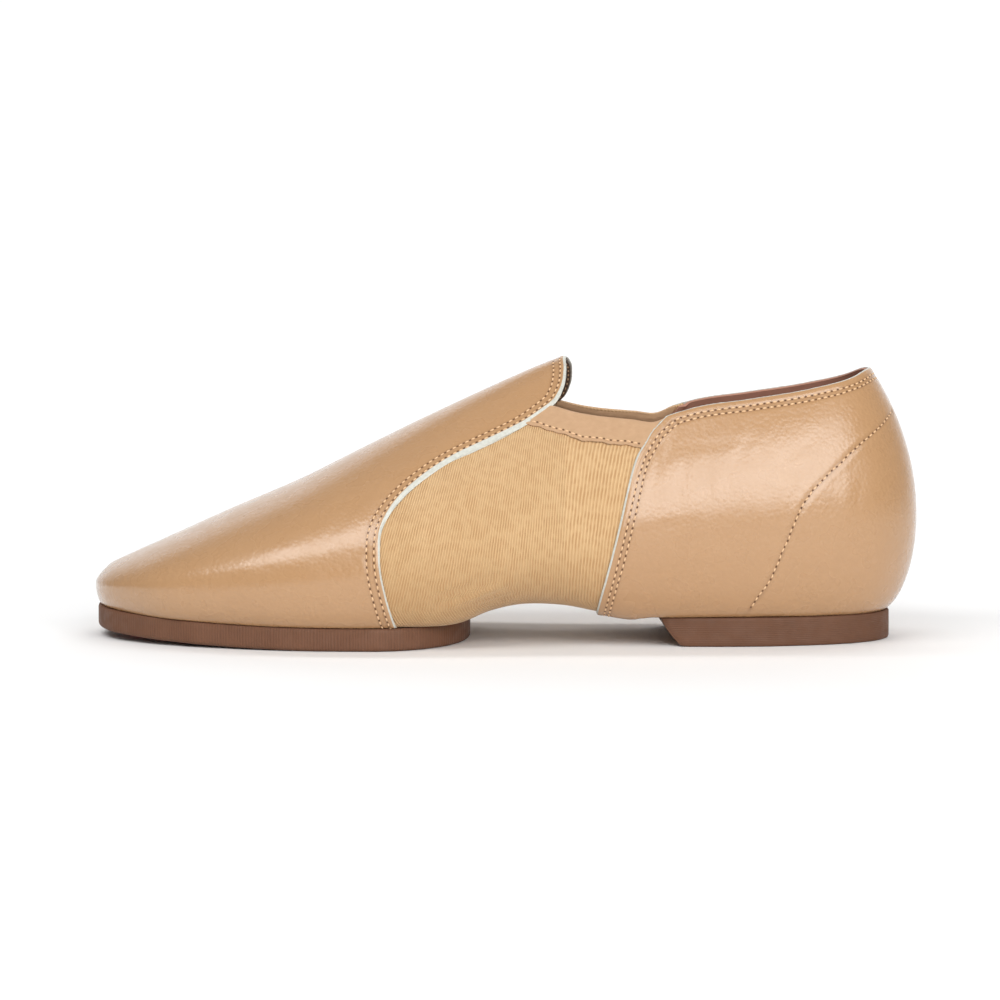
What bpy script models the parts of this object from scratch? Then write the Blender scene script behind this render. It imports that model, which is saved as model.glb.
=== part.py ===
"""Left jazz shoe: slip-on split-sole dance shoe in leather with stretch gores.

Frame: X runs along the shoe, toe at -X. The outer side faces -Y and the inner side +Y.
Z is up and the shoe stands on Z = 0. Everything is in metres.

The last is one function, skin(), which all the pieces of the upper are cut from. A rib
runs from the bottom centre line (level 0) over the feather line (1), the widest line (2)
and the collar line (3) to the ridge of the instep (4). Ribs fan round toe and heel, and
their place along the shoe is t, from 0 at the toe to 1 at the heel.
"""
import math
from collections import namedtuple

import bmesh
import bpy
from mathutils import Vector

# Driving sizes
LENGTH = 0.250
BALL_WIDTH = 0.0923
HEEL_WIDTH = 0.0715
INSTEP_HEIGHT = 0.0777
BACK_HEIGHT = 0.0733
ARCH_RISE = 0.0052
TOE_SPRING = 0.0028
OUTSOLE_HEIGHT = 0.0068
HEEL_HEIGHT = 0.0087
LINING_WALL = 0.0014
LEATHER_WALL = 0.0009
INSOLE_WALL = 0.0018
GAP = 0.0003

# Forefoot sole
OUTSOLE_LENGTH = 0.1142
OUTSOLE_WIDTH = 0.0850
OUTSOLE_SETBACK = 0.0008
OUTSOLE_EDGE = 0.0012
OUTSOLE_RIM = 0.0042
OUTSOLE_FIELD_DEPTH = 0.0005
INSERT_LENGTH = 0.0800
INSERT_WIDTH = 0.0510
INSERT_START = 0.0112
INSERT_DEPTH = 0.0020
INSERT_INSET = 0.0006

# Heel block
HEEL_LENGTH = 0.0712
HEEL_SEAT_WIDTH = 0.0587
HEEL_SETBACK = 0.0080
HEEL_BREAST_SLOPE = 0.0060
HEEL_BREAST_SKEW = 0.0052
HEEL_EDGE = 0.0008
HEEL_RIM = 0.0068
HEEL_GROOVE = 0.0050
HEEL_GROOVE_DEPTH = 0.0010
HEEL_PAD_DEPTH = 0.0003
HEEL_FRONT_RIM = 0.0016

# Openings, bands and lines of the upper
SOLE_OPENING_MARGIN = 0.55
LEATHER_CLEAR = 0.0010
BAND_WIDTH = 0.0097
BAND_WALL = 0.0006
BAND_STEP = 0.0003
BAND_CLEAR = 0.0026
INNER_SIDE_SHIFT = 0.0012
FORE_ANGLE = 1.12
FORE_TURN = 0.20
SOLE_OPENING_END = 0.42
HEEL_OPENING_START = 0.77
OUTER = -1
INNER = 1

# Mesh fineness
COLUMNS = 40
CLOSED_TOE_COLUMNS = 3
CLOSED_HEEL_COLUMNS = 2
RIBBON_COLUMNS = 8
NORMAL_STEP = 0.004
NORMAL_RISE = 0.02
WELD = 0.00002

# Sections of the last at its widest line, toe to heel. along is a share of LENGTH; outer
# and inner are half-widths as shares of BALL_WIDTH in front and HEEL_WIDTH behind; girth
# is the height of the widest line above the seat, as a share of INSTEP_HEIGHT in front
# and BACK_HEIGHT behind; tuck is how far the feather line lies inside the widest line, as
# a share of the same width; top is where the rib ends on the ridge, as a share of LENGTH;
# pinch narrows the section under the ridge.
Section = namedtuple("Section", "along outer inner girth tuck top pinch")
FRONT_SECTIONS = (
    Section(0.000, 0.000, 0.000, 0.077, 0.033, 0.022, 0.00),
    Section(0.006, 0.104, 0.100, 0.078, 0.034, 0.026, 0.00),
    Section(0.020, 0.193, 0.176, 0.085, 0.038, 0.036, 0.01),
    Section(0.050, 0.297, 0.251, 0.098, 0.048, 0.062, 0.02),
    Section(0.100, 0.407, 0.327, 0.116, 0.060, 0.108, 0.05),
    Section(0.170, 0.487, 0.394, 0.142, 0.072, 0.174, 0.08),
    Section(0.250, 0.542, 0.438, 0.170, 0.080, 0.252, 0.12),
    Section(0.340, 0.556, 0.444, 0.198, 0.086, 0.340, 0.18),
    Section(0.430, 0.534, 0.422, 0.240, 0.110, 0.429, 0.26),
    Section(0.500, 0.490, 0.404, 0.283, 0.155, 0.498, 0.35),
    Section(0.570, 0.457, 0.393, 0.300, 0.165, 0.566, 0.45),
)
BACK_SECTIONS = (
    Section(0.640, 0.559, 0.503, 0.327, 0.175, 0.630, 0.54),
    Section(0.720, 0.522, 0.503, 0.345, 0.148, 0.700, 0.50),
    Section(0.800, 0.487, 0.510, 0.366, 0.140, 0.762, 0.45),
    Section(0.870, 0.442, 0.492, 0.379, 0.142, 0.806, 0.38),
    Section(0.920, 0.380, 0.439, 0.386, 0.148, 0.828, 0.30),
    Section(0.955, 0.310, 0.364, 0.386, 0.156, 0.836, 0.24),
    Section(0.980, 0.218, 0.249, 0.386, 0.164, 0.839, 0.20),
    Section(0.995, 0.115, 0.140, 0.386, 0.170, 0.840, 0.18),
    Section(1.000, 0.000, 0.000, 0.386, 0.173, 0.840, 0.175),
)

# Height of the ridge over the seat: INSTEP_HEIGHT up to the throat, and behind it, where
# the collar cuts it away, the crown that the sides of the heel lean towards
Height = namedtuple("Height", "along share")
RIDGE_HEIGHTS = (
    Height(0.000, 0.122), Height(0.020, 0.160), Height(0.050, 0.211), Height(0.100, 0.292),
    Height(0.170, 0.403), Height(0.250, 0.520), Height(0.340, 0.667), Height(0.430, 0.808),
    Height(0.500, 0.910), Height(0.570, 0.994),
)
CROWN_HEIGHTS = (
    Height(0.640, 1.120), Height(0.720, 1.200), Height(0.800, 1.243), Height(1.000, 1.250),
)

# Height of the collar line over the seat, from the throat to the back, by BACK_HEIGHT
COLLAR_HEIGHTS = (
    Height(0.560, 0.850), Height(0.580, 0.823), Height(0.610, 0.800), Height(0.640, 0.787),
    Height(0.675, 0.788), Height(0.700, 0.820), Height(0.730, 0.850), Height(0.800, 0.886),
    Height(0.870, 0.925), Height(0.920, 0.968), Height(0.942, 1.000), Height(1.000, 1.010),
)

# Lift of the arch above the seat, by ARCH_RISE
ARCH = (
    Height(0.000, 0.0), Height(0.430, 0.0), Height(0.455, 0.12), Height(0.490, 0.72),
    Height(0.530, 1.0), Height(0.575, 0.80), Height(0.620, 0.32), Height(0.665, 0.0),
    Height(1.000, 0.0),
)

# Rear edge of the vamp and front edge of the quarter, seen from the side: height over the
# seat by INSTEP_HEIGHT or BACK_HEIGHT, and place along the shoe by LENGTH
Edge = namedtuple("Edge", "height along")
VAMP_EDGE = (
    Edge(-0.20, 0.400), Edge(0.015, 0.382), Edge(0.122, 0.3736), Edge(0.259, 0.3664),
    Edge(0.347, 0.366), Edge(0.436, 0.376), Edge(0.507, 0.394), Edge(0.575, 0.4196),
    Edge(0.643, 0.454), Edge(0.697, 0.4924), Edge(0.745, 0.5264), Edge(0.794, 0.551),
    Edge(0.834, 0.567), Edge(0.870, 0.573), Edge(0.910, 0.5765), Edge(0.950, 0.577),
    Edge(1.000, 0.575), Edge(1.200, 0.575),
)
QUARTER_EDGE = (
    Edge(-0.20, 0.600), Edge(0.023, 0.6156), Edge(0.196, 0.6296), Edge(0.375, 0.6428),
    Edge(0.555, 0.6544), Edge(0.610, 0.6584), Edge(0.666, 0.6644), Edge(0.711, 0.6724),
    Edge(0.761, 0.6816), Edge(0.802, 0.6936), Edge(1.000, 0.7100),
)
THROAT = 0.568

# Plan of the forefoot sole up to where its round rear edge begins, by OUTSOLE_LENGTH and
# OUTSOLE_WIDTH
Plan = namedtuple("Plan", "along outer inner")
OUTSOLE_PLAN = (
    Plan(0.000, 0.000, 0.000), Plan(0.010, 0.107, 0.098), Plan(0.031, 0.181, 0.159),
    Plan(0.052, 0.231, 0.196), Plan(0.088, 0.284, 0.234), Plan(0.139, 0.340, 0.285),
    Plan(0.191, 0.387, 0.321), Plan(0.243, 0.419, 0.354), Plan(0.294, 0.452, 0.385),
    Plan(0.346, 0.474, 0.404), Plan(0.449, 0.512, 0.435), Plan(0.553, 0.539, 0.451),
    Plan(0.656, 0.548, 0.452), Plan(0.759, 0.547, 0.445),
)
OUTSOLE_REAR_START = 0.759
OUTSOLE_REAR_SKEW = 0.075
INSERT_PLAN = (
    Plan(0.000, 0.130, 0.130), Plan(0.040, 0.185, 0.175), Plan(0.100, 0.245, 0.245),
    Plan(0.240, 0.357, 0.357), Plan(0.360, 0.420, 0.420), Plan(0.500, 0.468, 0.468),
    Plan(0.620, 0.497, 0.497), Plan(0.740, 0.495, 0.495), Plan(0.840, 0.455, 0.455),
    Plan(0.920, 0.365, 0.365), Plan(0.975, 0.215, 0.215), Plan(1.000, 0.000, 0.000),
)
INSERT_FRONT_OFFSET = -0.0066
INSERT_REAR_OFFSET = -0.0145
HEEL_PLAN = (
    Plan(0.000, 0.495, 0.393), Plan(0.120, 0.499, 0.437), Plan(0.330, 0.487, 0.494),
    Plan(0.470, 0.465, 0.502), Plan(0.600, 0.425, 0.496), Plan(0.730, 0.373, 0.460),
    Plan(0.820, 0.318, 0.410), Plan(0.890, 0.255, 0.345), Plan(0.950, 0.175, 0.250),
    Plan(0.985, 0.095, 0.140), Plan(1.000, 0.000, 0.000),
)

# Colours as shown, in scene-linear values, with roughness
TAN_LEATHER = ((0.64, 0.40, 0.21), 0.38)
GORE_CLOTH = ((0.70, 0.46, 0.25), 0.90)
BAND_CLOTH = ((0.77, 0.48, 0.27), 0.90)
SOLE_RUBBER = ((0.24, 0.12, 0.08), 0.65)
INSERT_RUBBER = ((0.93, 0.08, 0.09), 0.60)
SOCK_LEATHER = ((0.45, 0.28, 0.16), 0.75)


def clear_scene():
    for item in list(bpy.data.objects):
        bpy.data.objects.remove(item, do_unlink=True)


def make_collection(name):
    collection = bpy.data.collections.new(name)
    bpy.context.scene.collection.children.link(collection)
    return collection


def make_material(name, colour, roughness):
    material = bpy.data.materials.new(name)
    material.use_nodes = True
    shader = material.node_tree.nodes["Principled BSDF"]
    shader.inputs["Base Color"].default_value = (*colour, 1.0)
    shader.inputs["Roughness"].default_value = roughness
    return material


def curve_through(xs, ys):
    """A smooth curve through the rows of a table, as a function; flat beyond its ends."""
    slopes = [(ys[i + 1] - ys[i]) / (xs[i + 1] - xs[i]) for i in range(len(xs) - 1)]
    tangents = [slopes[0]]
    for i in range(1, len(xs) - 1):
        before, after = xs[i] - xs[i - 1], xs[i + 1] - xs[i]
        mean = (slopes[i - 1] * after + slopes[i] * before) / (before + after)
        limit = 3 * min(abs(slopes[i - 1]), abs(slopes[i]))
        if slopes[i - 1] * slopes[i] <= 0:
            limit = 0.0
        tangents.append(max(-limit, min(limit, mean)))
    tangents.append(slopes[-1])

    def value(x):
        if x <= xs[0]:
            return ys[0]
        if x >= xs[-1]:
            return ys[-1]
        i = max(k for k in range(len(xs) - 1) if xs[k] <= x)
        step = xs[i + 1] - xs[i]
        u = (x - xs[i]) / step
        rise = ys[i + 1] - ys[i]
        start, end = tangents[i] * step, tangents[i + 1] * step
        return ys[i] + u * (start + u * (3 * rise - 2 * start - end + u * (start + end - 2 * rise)))

    return value


def turn_of(along):
    """Place along the shoe as t, which spaces the ribs evenly round toe and heel."""
    return math.acos(1 - 2 * min(1.0, max(0.0, along))) / math.pi


def section_curve(column, front_size, back_size):
    turns = [turn_of(row.along) for row in FRONT_SECTIONS + BACK_SECTIONS]
    values = [getattr(row, column) * front_size for row in FRONT_SECTIONS]
    values += [getattr(row, column) * back_size for row in BACK_SECTIONS]
    return curve_through(turns, values)


outer_width = section_curve("outer", BALL_WIDTH, HEEL_WIDTH)
inner_width = section_curve("inner", BALL_WIDTH, HEEL_WIDTH)
girth_height = section_curve("girth", INSTEP_HEIGHT, BACK_HEIGHT)
tuck_depth = section_curve("tuck", BALL_WIDTH, HEEL_WIDTH)
top_along = section_curve("top", LENGTH, LENGTH)
pinch_share = section_curve("pinch", 1.0, 1.0)


def height_curve(front, front_size, back=(), back_size=1.0):
    xs = [row.along * LENGTH for row in front + back]
    ys = [row.share * front_size for row in front] + [row.share * back_size for row in back]
    return curve_through(xs, ys)


ridge_height = height_curve(RIDGE_HEIGHTS, INSTEP_HEIGHT, CROWN_HEIGHTS, BACK_HEIGHT)
collar_height = height_curve(COLLAR_HEIGHTS, BACK_HEIGHT)
arch_lift = height_curve(ARCH, ARCH_RISE)
vamp_edge = curve_through([e.height * INSTEP_HEIGHT for e in VAMP_EDGE],
                          [e.along * LENGTH for e in VAMP_EDGE])
quarter_edge = curve_through([e.height * BACK_HEIGHT for e in QUARTER_EDGE],
                             [e.along * LENGTH for e in QUARTER_EDGE])

SPRING_END = 0.34 * LENGTH
SEAT_STEP_START = 0.46 * LENGTH
SEAT_STEP_END = 0.67 * LENGTH


def toe_lift(x):
    """Height of the sole's bottom over the floor, x metres behind the toe."""
    return TOE_SPRING * max(0.0, 1 - max(0.0, x) / SPRING_END) ** 2


def seat(x):
    """Height of the face that the upper stands on: top of the sole, arch, top of the heel."""
    u = min(1.0, max(0.0, (x - SEAT_STEP_START) / (SEAT_STEP_END - SEAT_STEP_START)))
    blend = u * u * (3 - 2 * u)
    return toe_lift(x) + OUTSOLE_HEIGHT + (HEEL_HEIGHT - OUTSOLE_HEIGHT) * blend


def widest(width):
    return max(width(i / 200) for i in range(201))


# The middle of the box lies on Y = 0
CENTRE = (widest(outer_width) - widest(inner_width)) / 2


def centre_line(x):
    t = turn_of(x / LENGTH)
    return CENTRE + (inner_width(t) - outer_width(t)) / 2


def outline(t, side):
    """The widest line in plan, x metres behind the toe, and y."""
    t = min(1.0, max(0.0, t))
    x = LENGTH * (1 - math.cos(math.pi * t)) / 2
    half = (outer_width(t) + inner_width(t)) / 2
    return x, centre_line(x) + side * half


def outline_inward(t, side):
    """Unit direction in plan from the widest line towards the inside."""
    if t <= 0.0:
        return 1.0, 0.0
    if t >= 1.0:
        return -1.0, 0.0
    step = min(NORMAL_STEP, t, 1 - t)
    x0, y0 = outline(t - step, side)
    x1, y1 = outline(t + step, side)
    run = math.hypot(x1 - x0, y1 - y0)
    return side * (y1 - y0) / run, -side * (x1 - x0) / run


def crown_point(t, side, angle):
    """A point of the crown: angle 0 on the widest line, a right angle on the ridge."""
    girth_x, girth_y = outline(t, side)
    top_x = top_along(t)
    top_y = centre_line(top_x)
    reach = math.cos(angle) * (1 - pinch_share(t) * math.sin(angle) ** 2)
    x = top_x + (girth_x - top_x) * reach
    y = top_y + (girth_y - top_y) * reach
    base = seat(girth_x) + girth_height(t)
    top = seat(x) + ridge_height(x)
    return x, y, base + (top - base) * math.sin(angle)


def bisect(low, high, is_past):
    for _ in range(26):
        middle = (low + high) / 2
        if is_past(middle):
            high = middle
        else:
            low = middle
    return (low + high) / 2


THROAT_TURN = bisect(0.3, 0.7, lambda t: top_along(t) > THROAT * LENGTH)
RIGHT_ANGLE = math.pi / 2


def angle_at_collar(t, side):
    def is_past(angle):
        x, _, z = crown_point(t, side, angle)
        return z > seat(x) + collar_height(x)

    if not is_past(RIGHT_ANGLE):
        return RIGHT_ANGLE
    return bisect(0.0, RIGHT_ANGLE, is_past)


COLLAR_SAMPLES = 120
COLLAR_ANGLES = {
    side: [angle_at_collar(THROAT_TURN + (1 - THROAT_TURN) * i / COLLAR_SAMPLES, side)
           for i in range(COLLAR_SAMPLES + 1)]
    for side in (OUTER, INNER)
}


def collar_angle(t, side):
    """The angle of the collar line. In front of the throat it climbs towards the ridge."""
    if t < THROAT_TURN:
        u = min(1.0, (THROAT_TURN - t) / FORE_TURN)
        throat_angle = COLLAR_ANGLES[side][0]
        return throat_angle + (FORE_ANGLE - throat_angle) * u * u * (3 - 2 * u)
    place = COLLAR_SAMPLES * (t - THROAT_TURN) / (1 - THROAT_TURN)
    place = min(COLLAR_SAMPLES, max(0.0, place))
    i = min(COLLAR_SAMPLES - 1, int(place))
    angles = COLLAR_ANGLES[side]
    return angles[i] + (angles[i + 1] - angles[i]) * (place - i)


def bare_skin(t, level, side):
    """A point of the leather's outer face, x metres behind the toe."""
    if level > 2:
        low = collar_angle(t, side)
        angle = low * (level - 2) if level <= 3 else low + (RIGHT_ANGLE - low) * (level - 3)
        return Vector(crown_point(t, side, angle))
    girth_x, girth_y = outline(t, side)
    in_x, in_y = outline_inward(t, side)
    tuck = tuck_depth(t)
    feather_x, feather_y = girth_x + in_x * tuck, girth_y + in_y * tuck
    if level <= 1:
        anchor_x = 0.09 * LENGTH + 0.80 * girth_x
        x = anchor_x + (feather_x - anchor_x) * level
        anchor_y = centre_line(anchor_x)
        y = anchor_y + (feather_y - anchor_y) * level
        return Vector((x, y, seat(x) + arch_lift(x) - LEATHER_WALL))
    angle = RIGHT_ANGLE * (level - 1)
    out = tuck * math.sin(angle)
    x, y = feather_x - in_x * out, feather_y - in_y * out
    low = seat(feather_x) + arch_lift(feather_x) - LEATHER_WALL
    high = seat(girth_x) + girth_height(t)
    return Vector((x, y, low + (high - low) * (1 - math.cos(angle))))


def skin(t, level, side, depth=0.0):
    """A point depth under the leather's outer face, in the shoe's own frame."""
    here = bare_skin(t, level, side)
    if depth:
        here = here - depth * skin_normal(t, level, side)
    return Vector((here.x - LENGTH / 2, here.y, here.z))


def skin_normal(t, level, side):
    if t <= 0.0 or t >= 1.0 or level <= 0.0 or level >= 4.0:
        # On the seams between the two sides the normal stays in the shoe's long plane
        t_in = min(1 - NORMAL_STEP, max(NORMAL_STEP, t))
        level_in = min(4.0 - NORMAL_RISE, max(NORMAL_RISE, level))
        normal = skin_normal(t_in, level_in, side)
        return Vector((normal.x, 0.0, normal.z)).normalized()
    before, after = max(0.0, t - NORMAL_STEP), min(1.0, t + NORMAL_STEP)
    along = bare_skin(after, level, side) - bare_skin(before, level, side)
    up = bare_skin(t, level + NORMAL_RISE, side) - bare_skin(t, level - NORMAL_RISE, side)
    normal = along.cross(up) * (1 if side == OUTER else -1)
    return normal.normalized()


def turn_at_edge(level, side, edge):
    """The rib on which an edge, drawn in the side view, crosses a level."""
    shift = INNER_SIDE_SHIFT if side == INNER else 0.0

    def is_past(t):
        point = bare_skin(t, level, side)
        fade = 1.0 if level < 3.6 else max(0.0, (4.0 - level) / 0.4)
        return point.x > edge(point.z - seat(point.x)) + shift * fade

    return bisect(0.02, 0.98, is_past)


def add_surface(mesh, grid, flipped):
    """Faces between the rows and columns of a grid of vertices; holes are None."""
    for row in range(len(grid) - 1):
        for column in range(len(grid[row]) - 1):
            corners = [grid[row][column], grid[row][column + 1],
                       grid[row + 1][column + 1], grid[row + 1][column]]
            if any(corner is None for corner in corners):
                continue
            if flipped:
                corners.reverse()
            mesh.faces.new(corners)


def finish_object(name, mesh, collection, material):
    data = bpy.data.meshes.new(name)
    mesh.to_mesh(data)
    mesh.free()
    data.shade_smooth()
    data.set_sharp_from_angle(angle=math.radians(40))
    item = bpy.data.objects.new(name, data)
    data.materials.append(material)
    collection.objects.link(item)
    return item


def thicken(item, wall):
    solid = item.modifiers.new("Wall", "SOLIDIFY")
    solid.thickness = wall
    solid.offset = -1
    solid.use_even_offset = True
    return item


def shell(name, patches, depth, wall, collection, material):
    """A wall of even thickness from patches, each (side, rows of (t, level) or None)."""
    mesh = bmesh.new()
    for side, rows in patches:
        grid = [[mesh.verts.new(skin(*spot, side, depth)) if spot else None for spot in row]
                for row in rows]
        add_surface(mesh, grid, side == INNER)
    bmesh.ops.remove_doubles(mesh, verts=mesh.verts, dist=WELD)
    loose =[vert for vert in mesh.verts if not vert.link_faces]
    bmesh.ops.delete(mesh, geom=loose, context="VERTS")
    return thicken(finish_object(name, mesh, collection, material), wall)


def spread(low, high, count):
    return [low + (high - low) * i / count for i in range(count + 1)]


THROAT_COLUMN = round(COLUMNS * THROAT_TURN)
BOTTOM_LEVELS = (0.0, SOLE_OPENING_MARGIN, 1.0)
INSOLE_LEVELS = (0.0, 0.5, 0.94)
SIDE_LEVELS = (1.22, 1.42, 1.61, 1.80, 2.0)
CROWN_LEVELS = (2.25, 2.5, 2.75, 3.0)
RIDGE_LEVELS = (3.15, 3.35, 3.6, 3.8, 4.0)
LEATHER_SHARES = (0.0, 0.2, 0.42, 0.7, 1.0)


def base_turn(column, level, side):
    """The columns of the upper bend to the throat's edge as they near it."""
    throat = turn_at_edge(max(3.12, level), side, vamp_edge)
    if level < 3.0:
        throat += (THROAT_TURN - throat) * (3.0 - level) / 3.0
    if column <= THROAT_COLUMN:
        return throat * column / THROAT_COLUMN
    return throat + (1 - throat) * (column - THROAT_COLUMN) / (COLUMNS - THROAT_COLUMN)


def build_upper(collection, material):
    """The lining with its gores: one hollow wall, open at collar, throat, sole and heel."""
    sole_hole = range(CLOSED_TOE_COLUMNS + 1, round(COLUMNS * turn_of(SOLE_OPENING_END)))
    heel_hole = range(round(COLUMNS * turn_of(HEEL_OPENING_START)) + 1, COLUMNS - CLOSED_HEEL_COLUMNS)
    patches = []
    for side in (OUTER, INNER):
        bottom = []
        for level in BOTTOM_LEVELS[:2]:
            bottom.append([(base_turn(c, level, side), level) for c in range(COLUMNS + 1)])
        # Only the strips beside the openings are closed under the foot
        closed = [c for c in range(COLUMNS + 1) if c not in sole_hole and c not in heel_hole]
        for run in split_runs(closed):
            patches.append((side, [[row[c] for c in run] for row in bottom]))
        levels = BOTTOM_LEVELS[1:] + SIDE_LEVELS + CROWN_LEVELS
        patches.append((side, [[(base_turn(c, level, side), level) for c in range(COLUMNS + 1)]
                               for level in levels]))
        levels = CROWN_LEVELS[-1:] + RIDGE_LEVELS
        patches.append((side, [[(base_turn(c, level, side), level)
                                for c in range(THROAT_COLUMN + 1)] for level in levels]))
    return shell("upper", patches, LEATHER_WALL + GAP, LINING_WALL, collection, material)


def split_runs(numbers):
    runs = [[numbers[0]]]
    for number in numbers[1:]:
        if number == runs[-1][-1] + 1:
            runs[-1].append(number)
        else:
            runs.append([number])
    return runs


def leather_level(t, share):
    """Level between the leather's lower edge, just clear of the soles, and the widest line."""
    girth_x, _ = outline(t, OUTER)
    rise = girth_height(t) - arch_lift(girth_x) + LEATHER_WALL
    low = 1 + math.acos(1 - (LEATHER_WALL + LEATHER_CLEAR) / rise) / RIGHT_ANGLE
    return low + (2 - low) * share


VAMP_COLUMNS = 20
VAMP_LEVELS = (2.22, 2.42, 2.58, 2.72, 2.84, 2.93, 3.0, 3.07) + RIDGE_LEVELS


def build_vamp(collection, material):
    """Leather over toe and instep, back to the gores and up to the tab."""
    patches = []
    for side in (OUTER, INNER):
        rows = []
        for share in LEATHER_SHARES:
            edge = turn_at_edge(1.3 + 0.7 * share, side, vamp_edge)
            turns = spread(0.0, edge, VAMP_COLUMNS)
            rows.append([(t, leather_level(t, share)) for t in turns])
        for level in VAMP_LEVELS:
            edge = turn_at_edge(level, side, vamp_edge)
            rows.append([(t, level) for t in spread(0.0, edge, VAMP_COLUMNS)])
        patches.append((side, rows))
    return shell("vamp", patches, 0.0, LEATHER_WALL, collection, material)


QUARTER_COLUMNS = 20


def build_quarter(collection, material):
    """Leather round the heel, from the gores to the collar."""
    patches = []
    for side in (OUTER, INNER):
        rows = []
        for share in LEATHER_SHARES:
            edge = turn_at_edge(1.3 + 0.7 * share, side, quarter_edge)
            turns = spread(edge, 1.0, QUARTER_COLUMNS)
            rows.append([(t, leather_level(t, share)) for t in turns])
        for level in CROWN_LEVELS:
            edge = turn_at_edge(level, side, quarter_edge)
            rows.append([(t, level) for t in spread(edge, 1.0, QUARTER_COLUMNS)])
        patches.append((side, rows))
    return shell("quarter", patches, 0.0, LEATHER_WALL, collection, material)


def build_gore_band(name, side, collection, material):
    """The folded band along the top of one gore, between vamp and quarter."""
    middle = (turn_at_edge(3.0, side, vamp_edge) + turn_at_edge(3.0, side, quarter_edge)) / 2
    rib = bare_skin(middle, 3.0, side) - bare_skin(middle, 2.6, side)
    drop = 0.4 * BAND_WIDTH / rib.length
    rows = []
    for level in (3.0 - drop, 3.0 - drop / 2, 3.0):
        start = turn_at_edge(level, side, vamp_edge) + BAND_CLEAR / (RIGHT_ANGLE * LENGTH)
        end = turn_at_edge(level, side, quarter_edge) - BAND_CLEAR / (RIGHT_ANGLE * LENGTH)
        rows.append([(t, level) for t in spread(start, end, RIBBON_COLUMNS)])
    return shell(name, [(side, rows)], BAND_STEP, BAND_WALL, collection, material)


def build_insole(collection, material):
    """The sock inside the upper, from toe to heel."""
    depth = LEATHER_WALL + GAP + LINING_WALL + GAP
    patches = []
    for side in (OUTER, INNER):
        rows = [[(t, level) for t in spread(0.0, 1.0, COLUMNS)] for level in INSOLE_LEVELS]
        patches.append((side, rows))
    return shell("insole", patches, depth, INSOLE_WALL, collection, material)


def plan_curve(table, column, length, width):
    xs = [turn_of(row.along) for row in table]
    ys = [getattr(row, column) * width for row in table]
    curve = curve_through(xs, ys)
    return lambda x: curve(turn_of(x / length))


def layered_solid(name, rings, collection, material):
    """A closed solid from rings, each a pair of matched lists of points, outer and inner."""
    mesh = bmesh.new()
    built = []
    for outer, inner in rings:
        built.append(([mesh.verts.new(p) for p in outer], [mesh.verts.new(p) for p in inner]))
    for ladder, flipped in ((built[0], True), (built[-1], False)):
        add_surface(mesh, [ladder[0], ladder[1]], flipped)
    for below, above in zip(built, built[1:]):
        for side, flipped in ((0, False), (1, True)):
            add_surface(mesh, [below[side], above[side]], flipped)
        for end in (0, -1):
            corners = [below[0][end], above[0][end], above[1][end], below[1][end]]
            if end == 0:
                corners.reverse()
            mesh.faces.new(corners)
    bmesh.ops.remove_doubles(mesh, verts=mesh.verts, dist=WELD)
    bmesh.ops.dissolve_degenerate(mesh, edges=mesh.edges, dist=WELD / 2)
    bmesh.ops.recalc_face_normals(mesh, faces=mesh.faces)
    return finish_object(name, mesh, collection, material)


OUTSOLE_STATIONS = 22
REAR_STATIONS = 9


def outsole_ring(inset, height):
    """The sole's outline, drawn in by inset, at a height over its own bottom."""
    outer_half = plan_curve(OUTSOLE_PLAN, "outer", OUTSOLE_LENGTH, OUTSOLE_WIDTH)
    inner_half = plan_curve(OUTSOLE_PLAN, "inner", OUTSOLE_LENGTH, OUTSOLE_WIDTH)
    shrink = 1 - 2 * inset / OUTSOLE_WIDTH
    reach = OUTSOLE_LENGTH - 2 * inset
    rear = OUTSOLE_REAR_START
    rear_outer, rear_inner = outer_half(rear * OUTSOLE_LENGTH), inner_half(rear * OUTSOLE_LENGTH)
    middle, half = (rear_inner - rear_outer) / 2, (rear_inner + rear_outer) / 2
    start = OUTSOLE_SETBACK + inset
    sides = {OUTER: [], INNER: []}
    for side, width in ((OUTER, outer_half), (INNER, inner_half)):
        for i in range(OUTSOLE_STATIONS):
            u = rear * (1 - math.cos(RIGHT_ANGLE * i / OUTSOLE_STATIONS))
            sides[side].append((u, side * width(u * OUTSOLE_LENGTH)))
        for i in range(REAR_STATIONS + 1):
            angle = RIGHT_ANGLE * i / REAR_STATIONS
            across = side * half * math.cos(angle)
            u = rear + (1 - rear) * math.sin(angle)
            u -= OUTSOLE_REAR_SKEW * across / OUTSOLE_LENGTH * math.sin(angle)
            sides[side].append((u, middle + across))
    ring = []
    for side in (OUTER, INNER):
        points = []
        for u, y in sides[side]:
            x = start + u * reach
            lift = toe_lift(x) + height
            points.append(Vector((x - LENGTH / 2, CENTRE + y * shrink, lift)))
        ring.append(points)
    return ring


def build_outsole(collection, cutters, material):
    """The rubber forefoot sole: round lower edge, raised rim, sunk field, insert pocket."""
    edge = OUTSOLE_EDGE
    field = OUTSOLE_FIELD_DEPTH
    rings = [outsole_ring(inset, height) for inset, height in (
        (OUTSOLE_RIM + field, field), (OUTSOLE_RIM, 0.0), (edge, 0.0), (0.3 * edge, 0.3 * edge),
        (0.0, edge), (0.0, OUTSOLE_HEIGHT - 0.4 * edge), (0.4 * edge, OUTSOLE_HEIGHT))]
    outsole = layered_solid("outsole", rings, collection, material)
    pocket = insert_solid("insert_pocket", GAP, -OUTSOLE_HEIGHT / 2, cutters, material)
    pocket.hide_render = True
    pocket.display_type = "WIRE"
    cut = outsole.modifiers.new("Insert pocket", "BOOLEAN")
    cut.object = pocket
    cut.operation = "DIFFERENCE"
    return outsole


INSERT_STATIONS = 22


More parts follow.
